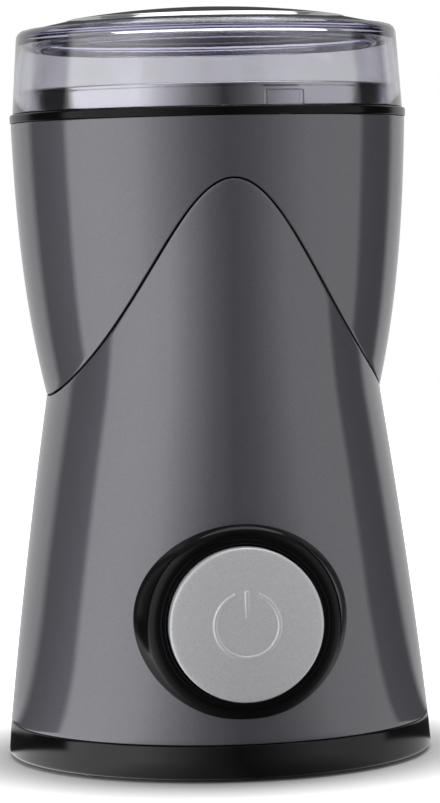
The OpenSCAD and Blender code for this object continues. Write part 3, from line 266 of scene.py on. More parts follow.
def sweep(bm, angle, steps, rise=0.0, use_merge=False):
    """Spins a shape round Z, with a rise at each step."""
    bmesh.ops.spin(
        bm,
        geom=list(bm.verts) + list(bm.edges) + list(bm.faces),
        cent=(0, 0, 0),
        axis=(0, 0, 1),
        dvec=(0, 0, rise),
        angle=angle,
        steps=steps,
        use_merge=use_merge,
    )


def outline(bm, points):
    """A closed outline in the XZ plane as wire edges. A point's third value rounds its corner."""
    verts = []
    by_radius = {}
    for x, z, *rounding in points:
        verts.append(bm.verts.new((x, 0.0, z)))
        for radius in rounding:
            by_radius.setdefault(radius, []).append(verts[-1])
    bm.faces.new(verts)
    for radius, corners in by_radius.items():
        bevel(bm, corners, radius, "VERTICES", detail().corner_steps)
    bmesh.ops.delete(bm, geom=list(bm.faces), context="FACES_ONLY")


def turned(points, steps=None):
    """A solid of revolution about Z from a closed outline of (radius, height) points."""
    bm = bmesh.new()
    outline(bm, points)
    # An edge that lies on the axis sweeps no surface.
    on_axis = [e for e in bm.edges if all(abs(v.co.x) < 1e-6 for v in e.verts)]
    bmesh.ops.delete(bm, geom=on_axis, context="EDGES")
    sweep(bm, TURN, steps or detail().round_steps, use_merge=True)
    close_up(bm)
    return bm


def dome(radius, top, drop, steps):
    """Points of a shallow dome from its middle to its edge."""
    return [(radius * i / steps, top - drop * (i / steps) ** 2) for i in range(steps + 1)]


def rod(radius, z0, z1, steps=48):
    """A capped rod along Z."""
    bm = bmesh.new()
    bmesh.ops.create_cone(
        bm, cap_ends=True, segments=steps, radius1=radius, radius2=radius, depth=z1 - z0
    )
    move(bm, z=(z0 + z1) / 2)
    return bm


def sector(r0, r1, middle, span, z0, z1, steps=24, crown=0.0):
    """Part of a ring, centred on an angle in degrees, with its top edges rounded by crown."""
    bm = bmesh.new()
    verts = [bm.verts.new((x, 0, z)) for x, z in ((r0, z0), (r1, z0), (r1, z1), (r0, z1))]
    bm.faces.new(verts)
    if crown:
        bevel(bm, verts[2:], crown, "VERTICES", SIGN_STEPS)
    turn(bm, middle - span / 2, "Z")
    sweep(bm, math.radians(span), steps)
    close_up(bm)
    return bm


def gather(bm, other):
    """Adds another bmesh to a bmesh, and frees it."""
    mesh = as_mesh(other)
    bm.from_mesh(mesh)
    bpy.data.meshes.remove(mesh)


def around(bm, circle, angles):
    """Moves a shape out to a circle round Z, and copies it to several angles in degrees."""
    move(bm, x=circle)
    source = as_mesh(bm)
    many = bmesh.new()
    for angle in angles:
        before = set(many.verts)
        many.from_mesh(source)
        turn(many, angle, "Z", [v for v in many.verts if v not in before])
    bpy.data.meshes.remove(source)
    return many


def boolean(bm, tool, operation="DIFFERENCE"):
    """Cuts or joins two closed bmeshes, and returns the result."""
    pair = [bpy.data.objects.new("passing", as_mesh(part)) for part in (bm, tool)]
    for piece in pair:
        bpy.context.scene.collection.objects.link(piece)
    cut = pair[0].modifiers.new("cut", "BOOLEAN")
    cut.operation = operation
    cut.solver = "EXACT"
    cut.object = pair[1]
    graph = bpy.context.evaluated_depsgraph_get()
    result = bpy.data.meshes.new_from_object(pair[0].evaluated_get(graph))
    made = bmesh.new()
    made.from_mesh(result)
    bpy.data.meshes.remove(result)
    for piece in pair:
        mesh = piece.data
        bpy.data.objects.remove(piece)
        bpy.data.meshes.remove(mesh)
    if not made.faces:
        raise RuntimeError("a cut left nothing")
    return made


# ---------------- forms of the shells


def share(z, z0, z1):
    """How far a height is from one height to another, from 0 to 1."""
    return min(max((z - z0) / (z1 - z0), 0.0), 1.0)


def upper_r(s, z):
    """Outer radius of the upper shell at a height."""
    t = share(z, s.waist_z, s.shell_top_z)
    return s.waist_half_w + s.flare * (1 - (1 - t) ** FLARE_POWER) + s.lean * t


def half_w(s, z):
    """Half width of the lower shell's oval at a height."""
    if z < s.waist_z:
        t = share(z, s.base_top_z, s.waist_z)
        return s.base_top_r + (s.waist_half_w - s.base_top_r) * t + 4 * s.side_bow * t * (1 - t)
    t = share(z, s.waist_z, s.tongue_top_z)
    return s.tongue_half_w + (s.waist_half_w - s.tongue_half_w) * (1 - t) ** TONGUE_POWER


def half_d(s, z):
    """Half depth of the lower shell's oval at a height."""
    top = upper_r(s, s.tongue_top_z)
    t = (z - s.base_top_z) / (s.tongue_top_z - s.base_top_z)
    return s.base_top_r + (top - s.base_top_r) * t


def skin_depth(s, x, z):
    """How far the lower shell's outer face stands from the middle, in front of a point."""
    return half_d(s, z) * math.sqrt(max(1 - (x / half_w(s, z)) ** 2, 0.0))


def seam_x(s, z):
    """Half width of the tongue at a height, where the oval meets the round form."""
    r, a, b = upper_r(s, z), half_w(s, z), half_d(s, z)
    return r * math.sqrt(min(max((r**-2 - b**-2) / (a**-2 - b**-2), 0.0), 1.0))


def seam_line(s, grow):
    """The seam from the tongue's top down to the waist, moved outwards by grow."""
    steps = 160
    crowding = 1.7
    span = s.tongue_top_z - s.waist_z
    plain = [Vector((0.0, s.tongue_top_z))]
    for i in range(1, steps + 1):
        z = s.tongue_top_z - span * (i / steps) ** crowding
        plain.append(Vector((seam_x(s, z), z)))
    moved = [plain[0] + Vector((0, grow))]
    for i in range(1, steps + 1):
        along = plain[min(i + 1, steps)] - plain[i - 1]
        moved.append(plain[i] + Vector((-along.y, along.x)).normalized() * grow)
    return moved


def seam_height(line, ratio_at, waist):
    """Height at which the seam crosses a column of the shell, found by halving."""
    top, bottom = line[0].y, waist
    if ratio_at(top) <= 0:
        return top
    for _ in range(40):
        z = (top + bottom) / 2
        for p, q in zip(line, line[1:]):
            if q.y <= z <= p.y:
                x = p.x + (q.x - p.x) * (p.y - z) / max(p.y - q.y, 1e-9)
                break
        else:
            x = line[-1].x
        if x > ratio_at(z):
            bottom = z
        else:
            top = z
    return (top + bottom) / 2


def shell(s, rows, grow, half_width, half_depth, ends):
    """A walled shell made of columns round Z.

    Ends gives the lowest and the highest point of a column from the seam's height in it.
    """
    columns = 240
    line = seam_line(s, grow)
    spans = []
    for i in range(columns + 1):
        reach = abs(math.cos(TURN * i / columns))
        spans.append(ends(seam_height(line, lambda z: half_width(s, z) * reach, s.waist_z)))
    bm = bmesh.new()
    bmesh.ops.create_grid(bm, x_segments=columns, y_segments=rows, size=0.5)
    for v in bm.verts:
        i = round((v.co.x + 0.5) * columns)
        angle = TURN * i / columns
        z0, z1 = spans[i]
        z = z0 + (z1 - z0) * (v.co.y + 0.5)
        v.co = half_width(s, z) * math.cos(angle), half_depth(s, z) * math.sin(angle), z
    close_up(bm, 0.002)
    bmesh.ops.solidify(bm, geom=list(bm.faces), thickness=s.shell_wall)
    bmesh.ops.recalc_face_normals(bm, faces=bm.faces)
    soften(bm, s.seam_round, angle=50.0)
    return bm


# ---------------- node helpers


def plug(tree, socket, value):
    """Links a socket to another, or gives it a plain value."""
    if isinstance(value, bpy.types.NodeSocket):
        tree.links.new(value, socket)
    else:
        socket.default_value = value


def feed(tree, node, **inputs):
    """Fills a node's sockets, each by its name, or by its number as n0, n1 and so on."""
    for key, value in inputs.items():
        name = int(key[1:]) if key[0] == "n" and key[1:].isdigit() else key.replace("_", " ")
        plug(tree, node.inputs[name], value)


def node_in(tree, kind, **inputs):
    """Adds a shader node. A key with set_ is a setting of the node, any other one a socket."""
    made = tree.nodes.new("ShaderNode" + kind)
    for key in [key for key in inputs if key.startswith("set_")]:
        setattr(made, key[4:], inputs.pop(key))
    feed(tree, made, **inputs)
    return made


def maths(tree, operation, *values, clamp=False):
    """What an operation makes of one to three values."""
    made = node_in(tree, "Math", set_operation=operation, set_use_clamp=clamp)
    for socket, value in zip(made.inputs, values):
        plug(tree, socket, value)
    return made.outputs[0]


def ranged(tree, value, low_in, high_in, low_out=0.0, high_out=1.0, curve="LINEAR"):
    """A value carried from one range to another, and kept inside it."""
    sockets = {"From_Min": low_in, "From_Max": high_in, "To_Min": low_out, "To_Max": high_out}
    made = node_in(tree, "MapRange", set_interpolation_type=curve, Value=value, **sockets)
    return made.outputs[0]


def noise(tree, place, scale, detail):
    return node_in(tree, "TexNoise", Vector=place, Scale=scale, Detail=detail).outputs["Fac"]


def mixed(tree, amount, first, second):
    """A colour between two."""
    made = node_in(tree, "Mix", set_data_type="RGBA", n0=amount, n6=first, n7=second)
    return made.outputs[2]


def axes(tree, place):
    return node_in(tree, "SeparateXYZ", Vector=place).outputs


def far(tree, place):
    """Distance of a place from the origin."""
    return node_in(tree, "VectorMath", set_operation="LENGTH", n0=place).outputs["Value"]


def own_place(tree):
    return node_in(tree, "TexCoord").outputs["Object"]


# ---------------- shared effects


def moulded_grain(tree, given):
    """Fine moulded grain: a height, and a roughness that wanders a little."""
    place = own_place(tree)
    wide = noise(tree, place, scale=35.0, detail=4.0)
    return {
        "Height": noise(tree, place, scale=given["Scale"], detail=3.0),
        "Roughness": maths(tree, "MULTIPLY_ADD", wide, given["Spread"], given["Roughness"]),
    }


def metal_flake(tree, given):
    """Metal flake under a clear coat: the colour sparkles from grain to grain."""
    place = own_place(tree)
    flakes = node_in(tree, "TexVoronoi", Vector=place, Scale=given["Scale"])
    grey = node_in(tree, "RGBToBW", Color=flakes.outputs["Color"])
    clouds = noise(tree, place, scale=24.0, detail=5.0)
    both = maths(tree, "MULTIPLY_ADD", clouds, 0.35, grey.outputs[0])
    gain = ranged(tree, both, 0.2, 1.15, 0.9, 1.1)
    tinted = node_in(tree, "VectorMath", set_operation="SCALE", n0=given["Color"], Scale=gain)
    return {"Color": tinted.outputs[0]}


def turning_lines(tree, given):
    """Fine turning lines round Z, as height and as a change of roughness."""
    place = own_place(tree)
    parts = axes(tree, place)
    flat = node_in(tree, "CombineXYZ", X=parts["X"], Y=parts["Y"], Z=0.0)
    across = maths(tree, "ADD", far(tree, flat.outputs[0]), parts["Z"])
    lines = node_in(
        tree, "TexNoise", set_noise_dimensions="1D", W=across, Scale=given["Scale"], Detail=2.0
    )
    smears = noise(tree, place, scale=60.0, detail=4.0)
    return {
        "Height": lines.outputs["Fac"],
        "Roughness": maths(tree, "MULTIPLY_ADD", smears, given["Spread"], given["Roughness"]),
    }


def settled_dust(tree, given):
    """Settled dust on what faces up, in soft patches."""
    facing = axes(tree, node_in(tree, "NewGeometry").outputs["Normal"])
    specks = noise(tree, own_place(tree), scale=320.0, detail=6.0)
    patch = maths(tree, "MULTIPLY", facing["Z"], specks)
    amount = ranged(tree, patch, 0.35, 0.8, 0.0, given["Amount"])
    return {"Color": mixed(tree, amount, given["Color"], (0.42, 0.39, 0.35, 1))}


def even_stripes(tree, given):
    """Even stripes along Z, for stacked sheets and wound wire."""
    turns = maths(tree, "MULTIPLY", axes(tree, own_place(tree))["Z"], given["Scale"])
    mask = ranged(tree, maths(tree, "SINE", turns), -1.0, 1.0)
    return {"Color": mixed(tree, mask, given["Dark"], given["Color"]), "Height": mask}


GREY = (0.5, 0.5, 0.5, 1)
# Each effect with its inputs and their first values.
EFFECTS = {
    "moulded grain": (moulded_grain, {"Scale": 1500.0, "Roughness": 0.3, "Spread": 0.08}),
    "metal flake": (metal_flake, {"Color": GREY, "Scale": 5000.0}),
    "turning lines": (turning_lines, {"Scale": 4000.0, "Roughness": 0.12, "Spread": 0.08}),
    "settled dust": (settled_dust, {"Color": GREY, "Amount": 0.1}),
    "even stripes": (even_stripes, {"Scale": 9000.0, "Color": GREY, "Dark": GREY}),
}


def effect(name):
    """The shader group of an effect, built the first time it is asked for."""
    if name in bpy.data.node_groups:
        return bpy.data.node_groups[name]
    build, inputs = EFFECTS[name]
    tree = bpy.data.node_groups.new(name, "ShaderNodeTree")
    for label, value in inputs.items():
        kind = "NodeSocketColor" if isinstance(value, tuple) else "NodeSocketFloat"
        socket = tree.interface.new_socket(name=label, in_out="INPUT", socket_type=kind)
        socket.default_value = value
    made = build(tree, tree.nodes.new("NodeGroupInput").outputs)
    for label in made:
        kind = "NodeSocketColor" if label == "Color" else "NodeSocketFloat"
        tree.interface.new_socket(name=label, in_out="OUTPUT", socket_type=kind)
    feed(tree, tree.nodes.new("NodeGroupOutput"), **made)
    return tree


def use(tree, name, **inputs):
    """Places a shared effect in a material, and returns what it puts out."""
    return node_in(tree, "Group", set_node_tree=effect(name), **inputs).outputs


# ---------------- finishes


# The nodes that a new material comes with.
SHADER = "Principled BSDF"
OUTPUT = "Material Output"


def start_material(name):
    made = bpy.data.materials.new(name)
    made.use_nodes = True
    return made


def palette():
    return bpy.context.scene.grinder_finish


def rgba(tint):
    """A colour of three values, or the palette's colour of that name, with full alpha."""
    return (*(getattr(palette(), tint) if isinstance(tint, str) else tint), 1.0)


def coat(tree, tint, surface, relief, height=None, **plain):
    """Feeds the shader a colour, an effect's roughness and relief in millimetres, and values."""
    height = height or surface["Height"]
    bump = node_in(tree, "Bump", Strength=1.0, Distance=relief / 1000, Height=height)
    plain |= {"Base_Color": tint, "Roughness": surface["Roughness"]}
    feed(tree, tree.nodes[SHADER], Normal=bump.outputs["Normal"], **plain)


def housing_grey(tree):
    """Metallic grey moulding under a clear gloss."""
    flake = use(tree, "metal flake", Color=rgba("housing"), Scale=4200.0)
    dusty = use(tree, "settled dust", Color=flake["Color"], Amount=0.06)
    grain = use(tree, "moulded grain", Scale=900.0, Roughness=0.48, Spread=0.1)
    gloss = {"Coat_Weight": 1.0, "Coat_Roughness": 0.04, "Coat_IOR": 1.9}
    coat(tree, dusty["Color"], grain, 0.004, Metallic=0.7, **gloss)


def clear_plastic(tree):
    """Clear moulded plastic that turns violet where light runs far through it."""
    grain = use(tree, "moulded grain", Scale=120.0, Roughness=0.0, Spread=0.03)
    glass = {"Transmission_Weight": 1.0, "IOR": 1.7, "Coat_Weight": 0.5, "Coat_IOR": 1.6}
    coat(tree, rgba("lid_tint"), grain, 0.01, **glass)
    depth = node_in(tree, "VolumeAbsorption", Color=(0.1, 0.05, 0.55, 1), Density=70.0)
    feed(tree, tree.nodes[OUTPUT], Volume=depth.outputs[0])


def polished_steel(tree):
    """Drawn steel, polished, with faint turning lines."""
    lines = use(tree, "turning lines", Scale=2600.0, Roughness=0.05, Spread=0.08)
    dusty = use(tree, "settled dust", Color=rgba("steel"), Amount=0.04)
    coat(tree, dusty["Color"], lines, 0.002, Metallic=1.0)


def button_silver(tree):
    """Silver moulding with a fine satin flake."""
    flake = use(tree, "metal flake", Color=rgba("button"), Scale=5200.0)
    grain = use(tree, "moulded grain", Scale=1400.0, Roughness=0.36, Spread=0.1)
    gloss = {"Coat_Weight": 0.2, "Coat_Roughness": 0.12}
    coat(tree, flake["Color"], grain, 0.003, Metallic=0.38, **gloss)


def moulded(
    tree, tint, roughness, spread=0.1, relief=0.01, scale=700.0, dust=0.1, metal=0.0, shine=0.5
):
    """A plain moulded or cast finish with grain and settled dust."""
    grain = use(tree, "moulded grain", Scale=scale, Roughness=roughness, Spread=spread)
    dusty = use(tree, "settled dust", Color=rgba(tint), Amount=dust)
    plain = {"Metallic": metal, "Specular_IOR_Level": shine}
    coat(tree, dusty["Color"], grain, relief, **plain)


def machined(tree, tint, roughness, scale=3000.0, relief=0.003):
    """A turned or ground metal finish."""
    lines = use(tree, "turning lines", Scale=scale, Roughness=roughness, Spread=0.12)
    flake = use(tree, "metal flake", Color=rgba(tint), Scale=2500.0)
    coat(tree, flake["Color"], lines, relief, Metallic=1.0)


def striped(tree, tint, dark, scale, metal, roughness, relief):
    """Stacked sheets or wound wire."""
    bands = use(tree, "even stripes", Scale=scale, Color=rgba(tint), Dark=rgba(dark))
    grain = use(tree, "moulded grain", Scale=900.0, Roughness=roughness, Spread=0.15)
    coat(tree, bands["Color"], grain, relief, bands["Height"], Metallic=metal)


# Each finish: how it is made, its colour and its other values. Relief is in millimetres.
FINISHES = {
    "housing_grey": housing_grey,
    "clear_plastic": clear_plastic,
    "polished_steel": polished_steel,
    "button_silver": button_silver,
    "gloss_black": partial(
        moulded, tint="gloss_black", roughness=0.12, spread=0.05, relief=0.002, scale=500.0,
        dust=0.01, shine=0.22,
    ),
    "base_black": partial(
        moulded, tint="base_black", roughness=0.1, spread=0.05, relief=0.003, scale=900.0,
        dust=0.01,
    ),
    "rubber": partial(
        moulded, tint=(0.025, 0.025, 0.026), roughness=0.6, spread=0.15, relief=0.02,
        scale=1100.0, dust=0.25,
    ),
    "chassis_plastic": partial(
        moulded, tint=(0.05, 0.052, 0.056), roughness=0.42, spread=0.12, relief=0.02
    ),
    "switch_plastic": partial(moulded, tint=(0.03, 0.033, 0.036), roughness=0.35),
    "key_red": partial(moulded, tint=(0.42, 0.03, 0.02), roughness=0.32),
    "nylon": partial(moulded, tint=(0.72, 0.70, 0.63), roughness=0.38, spread=0.12, relief=0.015),
    "die_cast": partial(
        moulded, tint=(0.52, 0.53, 0.55), roughness=0.38, spread=0.2, relief=0.03, scale=450.0,
        dust=0.08, metal=1.0,
    ),
    "ceramic": partial(moulded, tint=(0.62, 0.58, 0.48), roughness=0.25),
    "board_green": partial(
        moulded, tint=(0.03, 0.16, 0.08), roughness=0.3, spread=0.12, relief=0.02, scale=1600.0
    ),
    "film_yellow": partial(
        moulded, tint=(0.62, 0.42, 0.04), roughness=0.26, spread=0.08, relief=0.006
    ),
    "block_white": partial(moulded, tint=(0.66, 0.66, 0.62), roughness=0.45, relief=0.015),
    "carbon": partial(
        moulded, tint=(0.028, 0.028, 0.032), roughness=0.4, spread=0.25, relief=0.04,
        scale=1500.0, dust=0.0, metal=0.5,
    ),
    "bright_steel": partial(machined, tint=(0.58, 0.58, 0.60), roughness=0.22),
    "spring_steel": partial(machined, tint=(0.5, 0.5, 0.53), roughness=0.28, scale=6000.0),
    "blade_steel": partial(
        machined, tint=(0.60, 0.60, 0.62), roughness=0.2, scale=9000.0, relief=0.004
    ),
    "bronze": partial(
        machined, tint=(0.42, 0.28, 0.11), roughness=0.42, scale=1500.0, relief=0.01
    ),
    "brass": partial(machined, tint=(0.58, 0.43, 0.16), roughness=0.3, scale=2500.0),
    "commutator_copper": partial(
        machined, tint=(0.70, 0.33, 0.17), roughness=0.2, scale=7000.0, relief=0.006
    ),
    "laminations": partial(
        striped, tint=(0.34, 0.35, 0.38), dark=(0.16, 0.16, 0.18), scale=12566.0, metal=1.0,
        roughness=0.35, relief=0.05,
    ),
    "windings": partial(
        striped, tint=(0.62, 0.24, 0.08), dark=(0.24, 0.07, 0.02), scale=15000.0, metal=0.8,
        roughness=0.25, relief=0.08,
    ),
}


def finish_named(name):
    """The material of a finish, built the first time it is asked for."""
    key = name.replace("_", " ") + " finish"
    if key not in bpy.data.materials:
        FINISHES[name](start_material(key).node_tree)
    return bpy.data.materials[key]


# ---------------- pieces


def inlet_z():
    """Height of the cord inlet's axis."""
    return (low("cord_grommet").z + high("cord_grommet").z) / 2


class GRINDER_OT_lower_shell(bpy.types.Operator):
    """Oval lower shell with its front and back tongues"""

    bl_idname = "grinder.lower_shell"
    bl_label = "Lower Shell"

    def execute(self, context):
        s = sizes()
        bottom = low("lower_shell").z
        bm = shell(s, 84, 0.0, half_w, half_d, lambda seam: (bottom, seam))
        # Both holes are cut from inside the housing to well in front of or behind it.
        inside, outside = 20, 60
        hole = rod(high("bezel").z - s.button_z - 1.6, inside, outside, 96)
        face_front(hole, s.button_z)
        bm = boolean(bm, hole)
        inlet = rod(high("cord_grommet").x - 1.4, inside, outside)
        face_back(inlet, inlet_z())
        bm = boolean(bm, inlet)
        dress(bm, "lower_shell_skin", "housing_grey", "housing", "grey_plastic", "lower_shell")
        return {"FINISHED"}


class GRINDER_OT_upper_shell(bpy.types.Operator):
    """Round flared upper shell, open for the tongues"""

    bl_idname = "grinder.upper_shell"
    bl_label = "Upper Shell"

    def execute(self, context):
        s = sizes()
        foot, top = s.waist_z + s.seam_gap, s.shell_top_z
        bm = shell(s, 56, s.seam_gap, upper_r, upper_r, lambda seam: (max(seam, foot), top))
        dress(bm, "upper_shell_skin", "housing_grey", "housing", "grey_plastic", "upper_shell")
        return {"FINISHED"}


class GRINDER_OT_trim_ring(bpy.types.Operator):
    """Black ring between the shells and the lid, with the slot for the lid's tab"""

    bl_idname = "grinder.trim_ring"
    bl_label = "Trim Ring"

    def execute(self, context):
        s = sizes()
        z0, z1 = low("trim_ring").z, high("trim_ring").z
        outer = high("trim_ring").x
        band = s.shell_top_z + SEAT_GAP
        inner = upper_r(s, s.shell_top_z) - s.shell_wall - 0.2
        bore, ledge_r = 43.5, 40.1
        ledge_z = z1 - 1.5
        points = [
            (ledge_r, z0, 0.2),
            (inner, z0),
            (inner, band),
            (outer, band, 0.35),
            (outer, z1, 0.45),
            (bore, z1, 0.2),
            (bore, ledge_z, 0.2),
            (ledge_r, ledge_z, 0.2),
        ]
        slot_in, slot_out, slot_span = 44.25, 45.7, 13.1
        slot = sector(slot_in, slot_out, TAB_TURN, slot_span, band - 1, z1 + 1)
        screw_r, screw_deep, screw_circle = 1.6, 2.8, 41.4
        screw_holes = around(rod(screw_r, z1 - screw_deep, z1 + 1, 32), screw_circle, (0, 120, 240))
        bm = boolean(boolean(turned(points), slot), screw_holes)
        dress(bm, "trim_ring_band", "gloss_black", "housing", "black_gloss", "trim_ring")
        return {"FINISHED"}


class GRINDER_OT_lid(bpy.types.Operator):
    """Clear lid with its inner skirt and its tab"""

    bl_idname = "grinder.lid"
    bl_label = "Lid"

    def execute(self, context):
        z0 = high("trim_ring").z + SEAT_GAP
        rim = high("lid").x
        edge = low("lid_disc").z
        foot_wall, foot_top = 1.4, z0 + 4.4
        side_lean, side_wall, side_top = 1.33, 1.22, z0 + 19.2
        shoulder_r, recess_r = 41.2, 33.15
        skirt_in, skirt_out, skirt_foot = 38.4, 40.2, edge - 5.6
        ceiling = 2.0
        # The top under the disc: radius, and height above the disc's edge.
        crown = ((26.0, 1.0), (14.0, 2.15), (0.0, 2.55))
        outside = [(r, edge + rise) for r, rise in crown]
        inside = [(r, edge + rise - ceiling) for r, rise in reversed(crown)]
        points = [
            (rim - foot_wall, foot_top),
            (rim - foot_wall, z0, 0.25),
            (rim, z0, 0.35),
            (rim - 0.3, foot_top),
            (rim - side_lean, side_top, 1.6),
            (shoulder_r, side_top + 0.3, 1.5),
            (recess_r, edge + 0.5, 0.2),
            (recess_r, edge),
            outside[0],
            (*outside[1], 3.0),
            outside[2],
            inside[0],
            (*inside[1], 3.0),
            inside[2],
            (recess_r - 0.15, edge - ceiling, 0.4),
            (skirt_in, edge - ceiling, 0.6),
            (skirt_in, skirt_foot, 0.7),
            (skirt_out, skirt_foot, 0.7),
            (skirt_out, side_top - ceiling, 0.4),
            (rim - side_lean - side_wall, side_top - ceiling, 1.6),
        ]
        bm = turned(points)
        tab_in, tab_out, tab_span = 44.45, 45.5, 11.7
        tab = sector(tab_in, tab_out, TAB_TURN, tab_span, z0 - 1.85, z0 + 0.6)
        soften(tab, 0.25)
        root = sector(tab_in - 0.52, tab_out - 0.6, TAB_TURN, tab_span, z0 + 0.15, z0 + 3.4)
        soften(root, 0.35)
        bm = boolean(boolean(bm, tab, "UNION"), root, "UNION")
        dress(bm, "lid_clear", "clear_plastic", "lid", "clear_plastic", "lid")
        return {"FINISHED"}


class GRINDER_OT_lid_disc(bpy.types.Operator):
    """Domed steel disc set in the lid"""

    bl_idname = "grinder.lid_disc"
    bl_label = "Lid Disc"

    def execute(self, context):
        edge, top = low("lid_disc").z, high("lid_disc").z
        sheet = 0.8
        *arch, rim = dome(high("lid_disc").x, top, top - edge - sheet, 16)
        under, edge_under = [(x, z - sheet) for x, z in reversed(arch)], (rim[0], rim[1] - sheet)
        bm = turned([*arch, (*rim, 0.75), (*edge_under, 0.05), *under])
        dress(bm, "lid_disc_dome", "polished_steel", "lid", "polished_steel", "lid_disc")
        return {"FINISHED"}


class GRINDER_OT_bowl(bpy.types.Operator):
    """Drawn steel bowl with its collar and rolled rim"""

    bl_idname = "grinder.bowl"
    bl_label = "Bowl"

    def execute(self, context):
        z0, z1 = low("bowl").z, high("bowl").z
        sheet = 0.7
        collar = 43.226
        step = high("trim_ring").z - 1.4
        shoulder = 39.2
        corner_in, corner_out, corner_z = 32.9, 33.5, z0 + 6
        floor_in, floor_out, hole = 30.6, 32.0, 7.7
        points = [
            (collar, step, 0.9),
            (collar, z1 - 1.2, 0.3),
            (collar + 0.4, z1 - 0.75, 0.3),
            (collar + 0.3, z1 - 0.2, 0.3),
            (collar - 0.35, z1, 0.3),
            (collar - 1.0, z1 - 0.2, 0.3),
            (collar - 1.1, z1 - 0.75, 0.3),
            (collar - sheet, z1 - 1.2, 0.3),
            (collar - sheet, step + sheet, 0.6),
            (shoulder, step + sheet, 0.9),
            (shoulder - sheet, step),
            (corner_in, corner_z),
            (floor_in, z0 + sheet, 3.6),
            (hole, z0 + sheet),
            (hole, z0),
            (floor_out, z0, 4.0),
            (corner_out, corner_z),
            (shoulder, step - sheet),
            (shoulder + 0.6, step),
        ]
        bm = turned(points)
        dress(bm, "bowl_drawn", "polished_steel", "housing", "polished_steel", "bowl")
        return {"FINISHED"}


class GRINDER_OT_bezel(bpy.types.Operator):
    """Black bezel round the button, fitted to the shell's curve"""

    bl_idname = "grinder.bezel"
    bl_label = "Bezel"

    def execute(self, context):
        s = sizes()
        front, back = -low("bezel").y, -high("bezel").y
        slope = 0.32
        side = s.bezel_r + slope * (half_d(s, s.button_z) - front)
        deep = 41.0
        foot = side + slope * (front - deep)
        foot_wall, front_wall, tube_wall = 1.6, 2.6, 2.25
        tube = s.bore_r + tube_wall
        lip = s.bore_r + s.lip_w
        step_w, step_deep = 0.4, 0.35
        points = [
            (s.bore_r, front, 0.3),
            (lip, front, 0.22),
            (lip, front - step_deep, 0.1),
            (lip + step_w, front - step_deep, 0.1),
            (lip + step_w, front, 0.15),
            (side, front, s.bezel_round),
            (foot, deep),
            (foot - foot_wall, deep),
            (tube, front - front_wall),
            (tube, back),
            (s.bore_r, back),
        ]
        bm = turned(points)
        face_front(bm, s.button_z)
        # The foot's points go in to just behind the lower shell's face.
        for v in bm.verts:
            reach = math.hypot(v.co.x, v.co.z - s.button_z)
            if reach > tube + 0.2 and -v.co.y < deep + 0.5:
                inner = reach < foot - foot_wall / 2
                sunk = 1.2 if inner else 0.5
                v.co.y = -max(skin_depth(s, v.co.x, v.co.z) - sunk, back + 0.5)
                grown = side + slope * (front + v.co.y) - (1.4 if inner else 0.0)
                v.co.x *= grown / reach
                v.co.z = s.button_z + (v.co.z - s.button_z) * grown / reach
        dress(bm, "bezel_boss", "gloss_black", "housing", "black_gloss", "bezel")
        return {"FINISHED"}


class GRINDER_OT_button(bpy.types.Operator):
    """Round push button with a raised standby sign"""

    bl_idname = "grinder.button"
    bl_label = "Button"

    def execute(self, context):
        s = sizes()
        crown, back = -low("button_cap").y, -high("button_cap").y
        proud = 0.1
        drop = 1.1
        wall = 1.4
        *arch, rim = dome(s.button_r, crown - proud, drop, 12)
        ceiling = crown - proud - drop - wall
        inner = s.button_r - wall
        cap = turned(
            [
                *arch,
                (*rim, 0.6),
                (s.button_r, back, 0.2),
                (inner, back),
                (inner, ceiling),
                (0, ceiling),
            ]
        )
        face_front(cap, s.button_z)
        dress(cap, "button_face", "button_silver", "button", "silver_plastic", "button_cap")

        thick = 1.4
        inside, outside = s.sign_r - s.sign_w / 2, s.sign_r + s.sign_w / 2
        opening = 2 * math.degrees(math.asin(s.sign_opening / 2 / s.sign_r))
        sign = sector(inside, outside, 270, 360 - opening, 0, thick, 96, 0.8)
        bar = bmesh.new()
        bmesh.ops.create_cube(bar, size=1.0)
        bmesh.ops.scale(bar, vec=(s.sign_w, inside, thick), verts=bar.verts)
        move(bar, y=s.sign_w + inside / 2, z=thick / 2)
        soften(bar, 0.5, 50.0, SIGN_STEPS)
        gather(sign, bar)
        move(sign, z=crown - thick)
        face_front(sign, s.button_z)
        dress(sign, "button_sign", "button_silver", "button", "silver_plastic")
        return {"FINISHED"}


class GRINDER_OT_button_spring(bpy.types.Operator):
    """Coil spring behind the button"""

    bl_idname = "grinder.button_spring"
    bl_label = "Button Spring"

    def execute(self, context):
        lift = sizes().button_z
        front, back = low("button_spring").y, high("button_spring").y
        wire, turns, travel = 0.45, 4, 3.0
        wire_sides, turn_steps = 10, 32
        steps = turns * turn_steps
        rise = (back - front - 2 * wire) / steps
        bm = bmesh.new()
        bmesh.ops.create_circle(bm, cap_ends=False, segments=wire_sides, radius=wire)
        face_front(bm, wire)
        move(bm, x=high("button_spring").x - wire)
        sweep(bm, turns * TURN, steps, rise)
        bmesh.ops.holes_fill(bm, edges=bm.edges, sides=wire_sides)
        close_up(bm)
        face_front(bm, lift)
        move(bm, y=back)
        coil = dress(bm, "button_spring_coil", "spring_steel", "housing", "steel", "button_spring")
        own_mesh(coil)
        return {"FINISHED"}


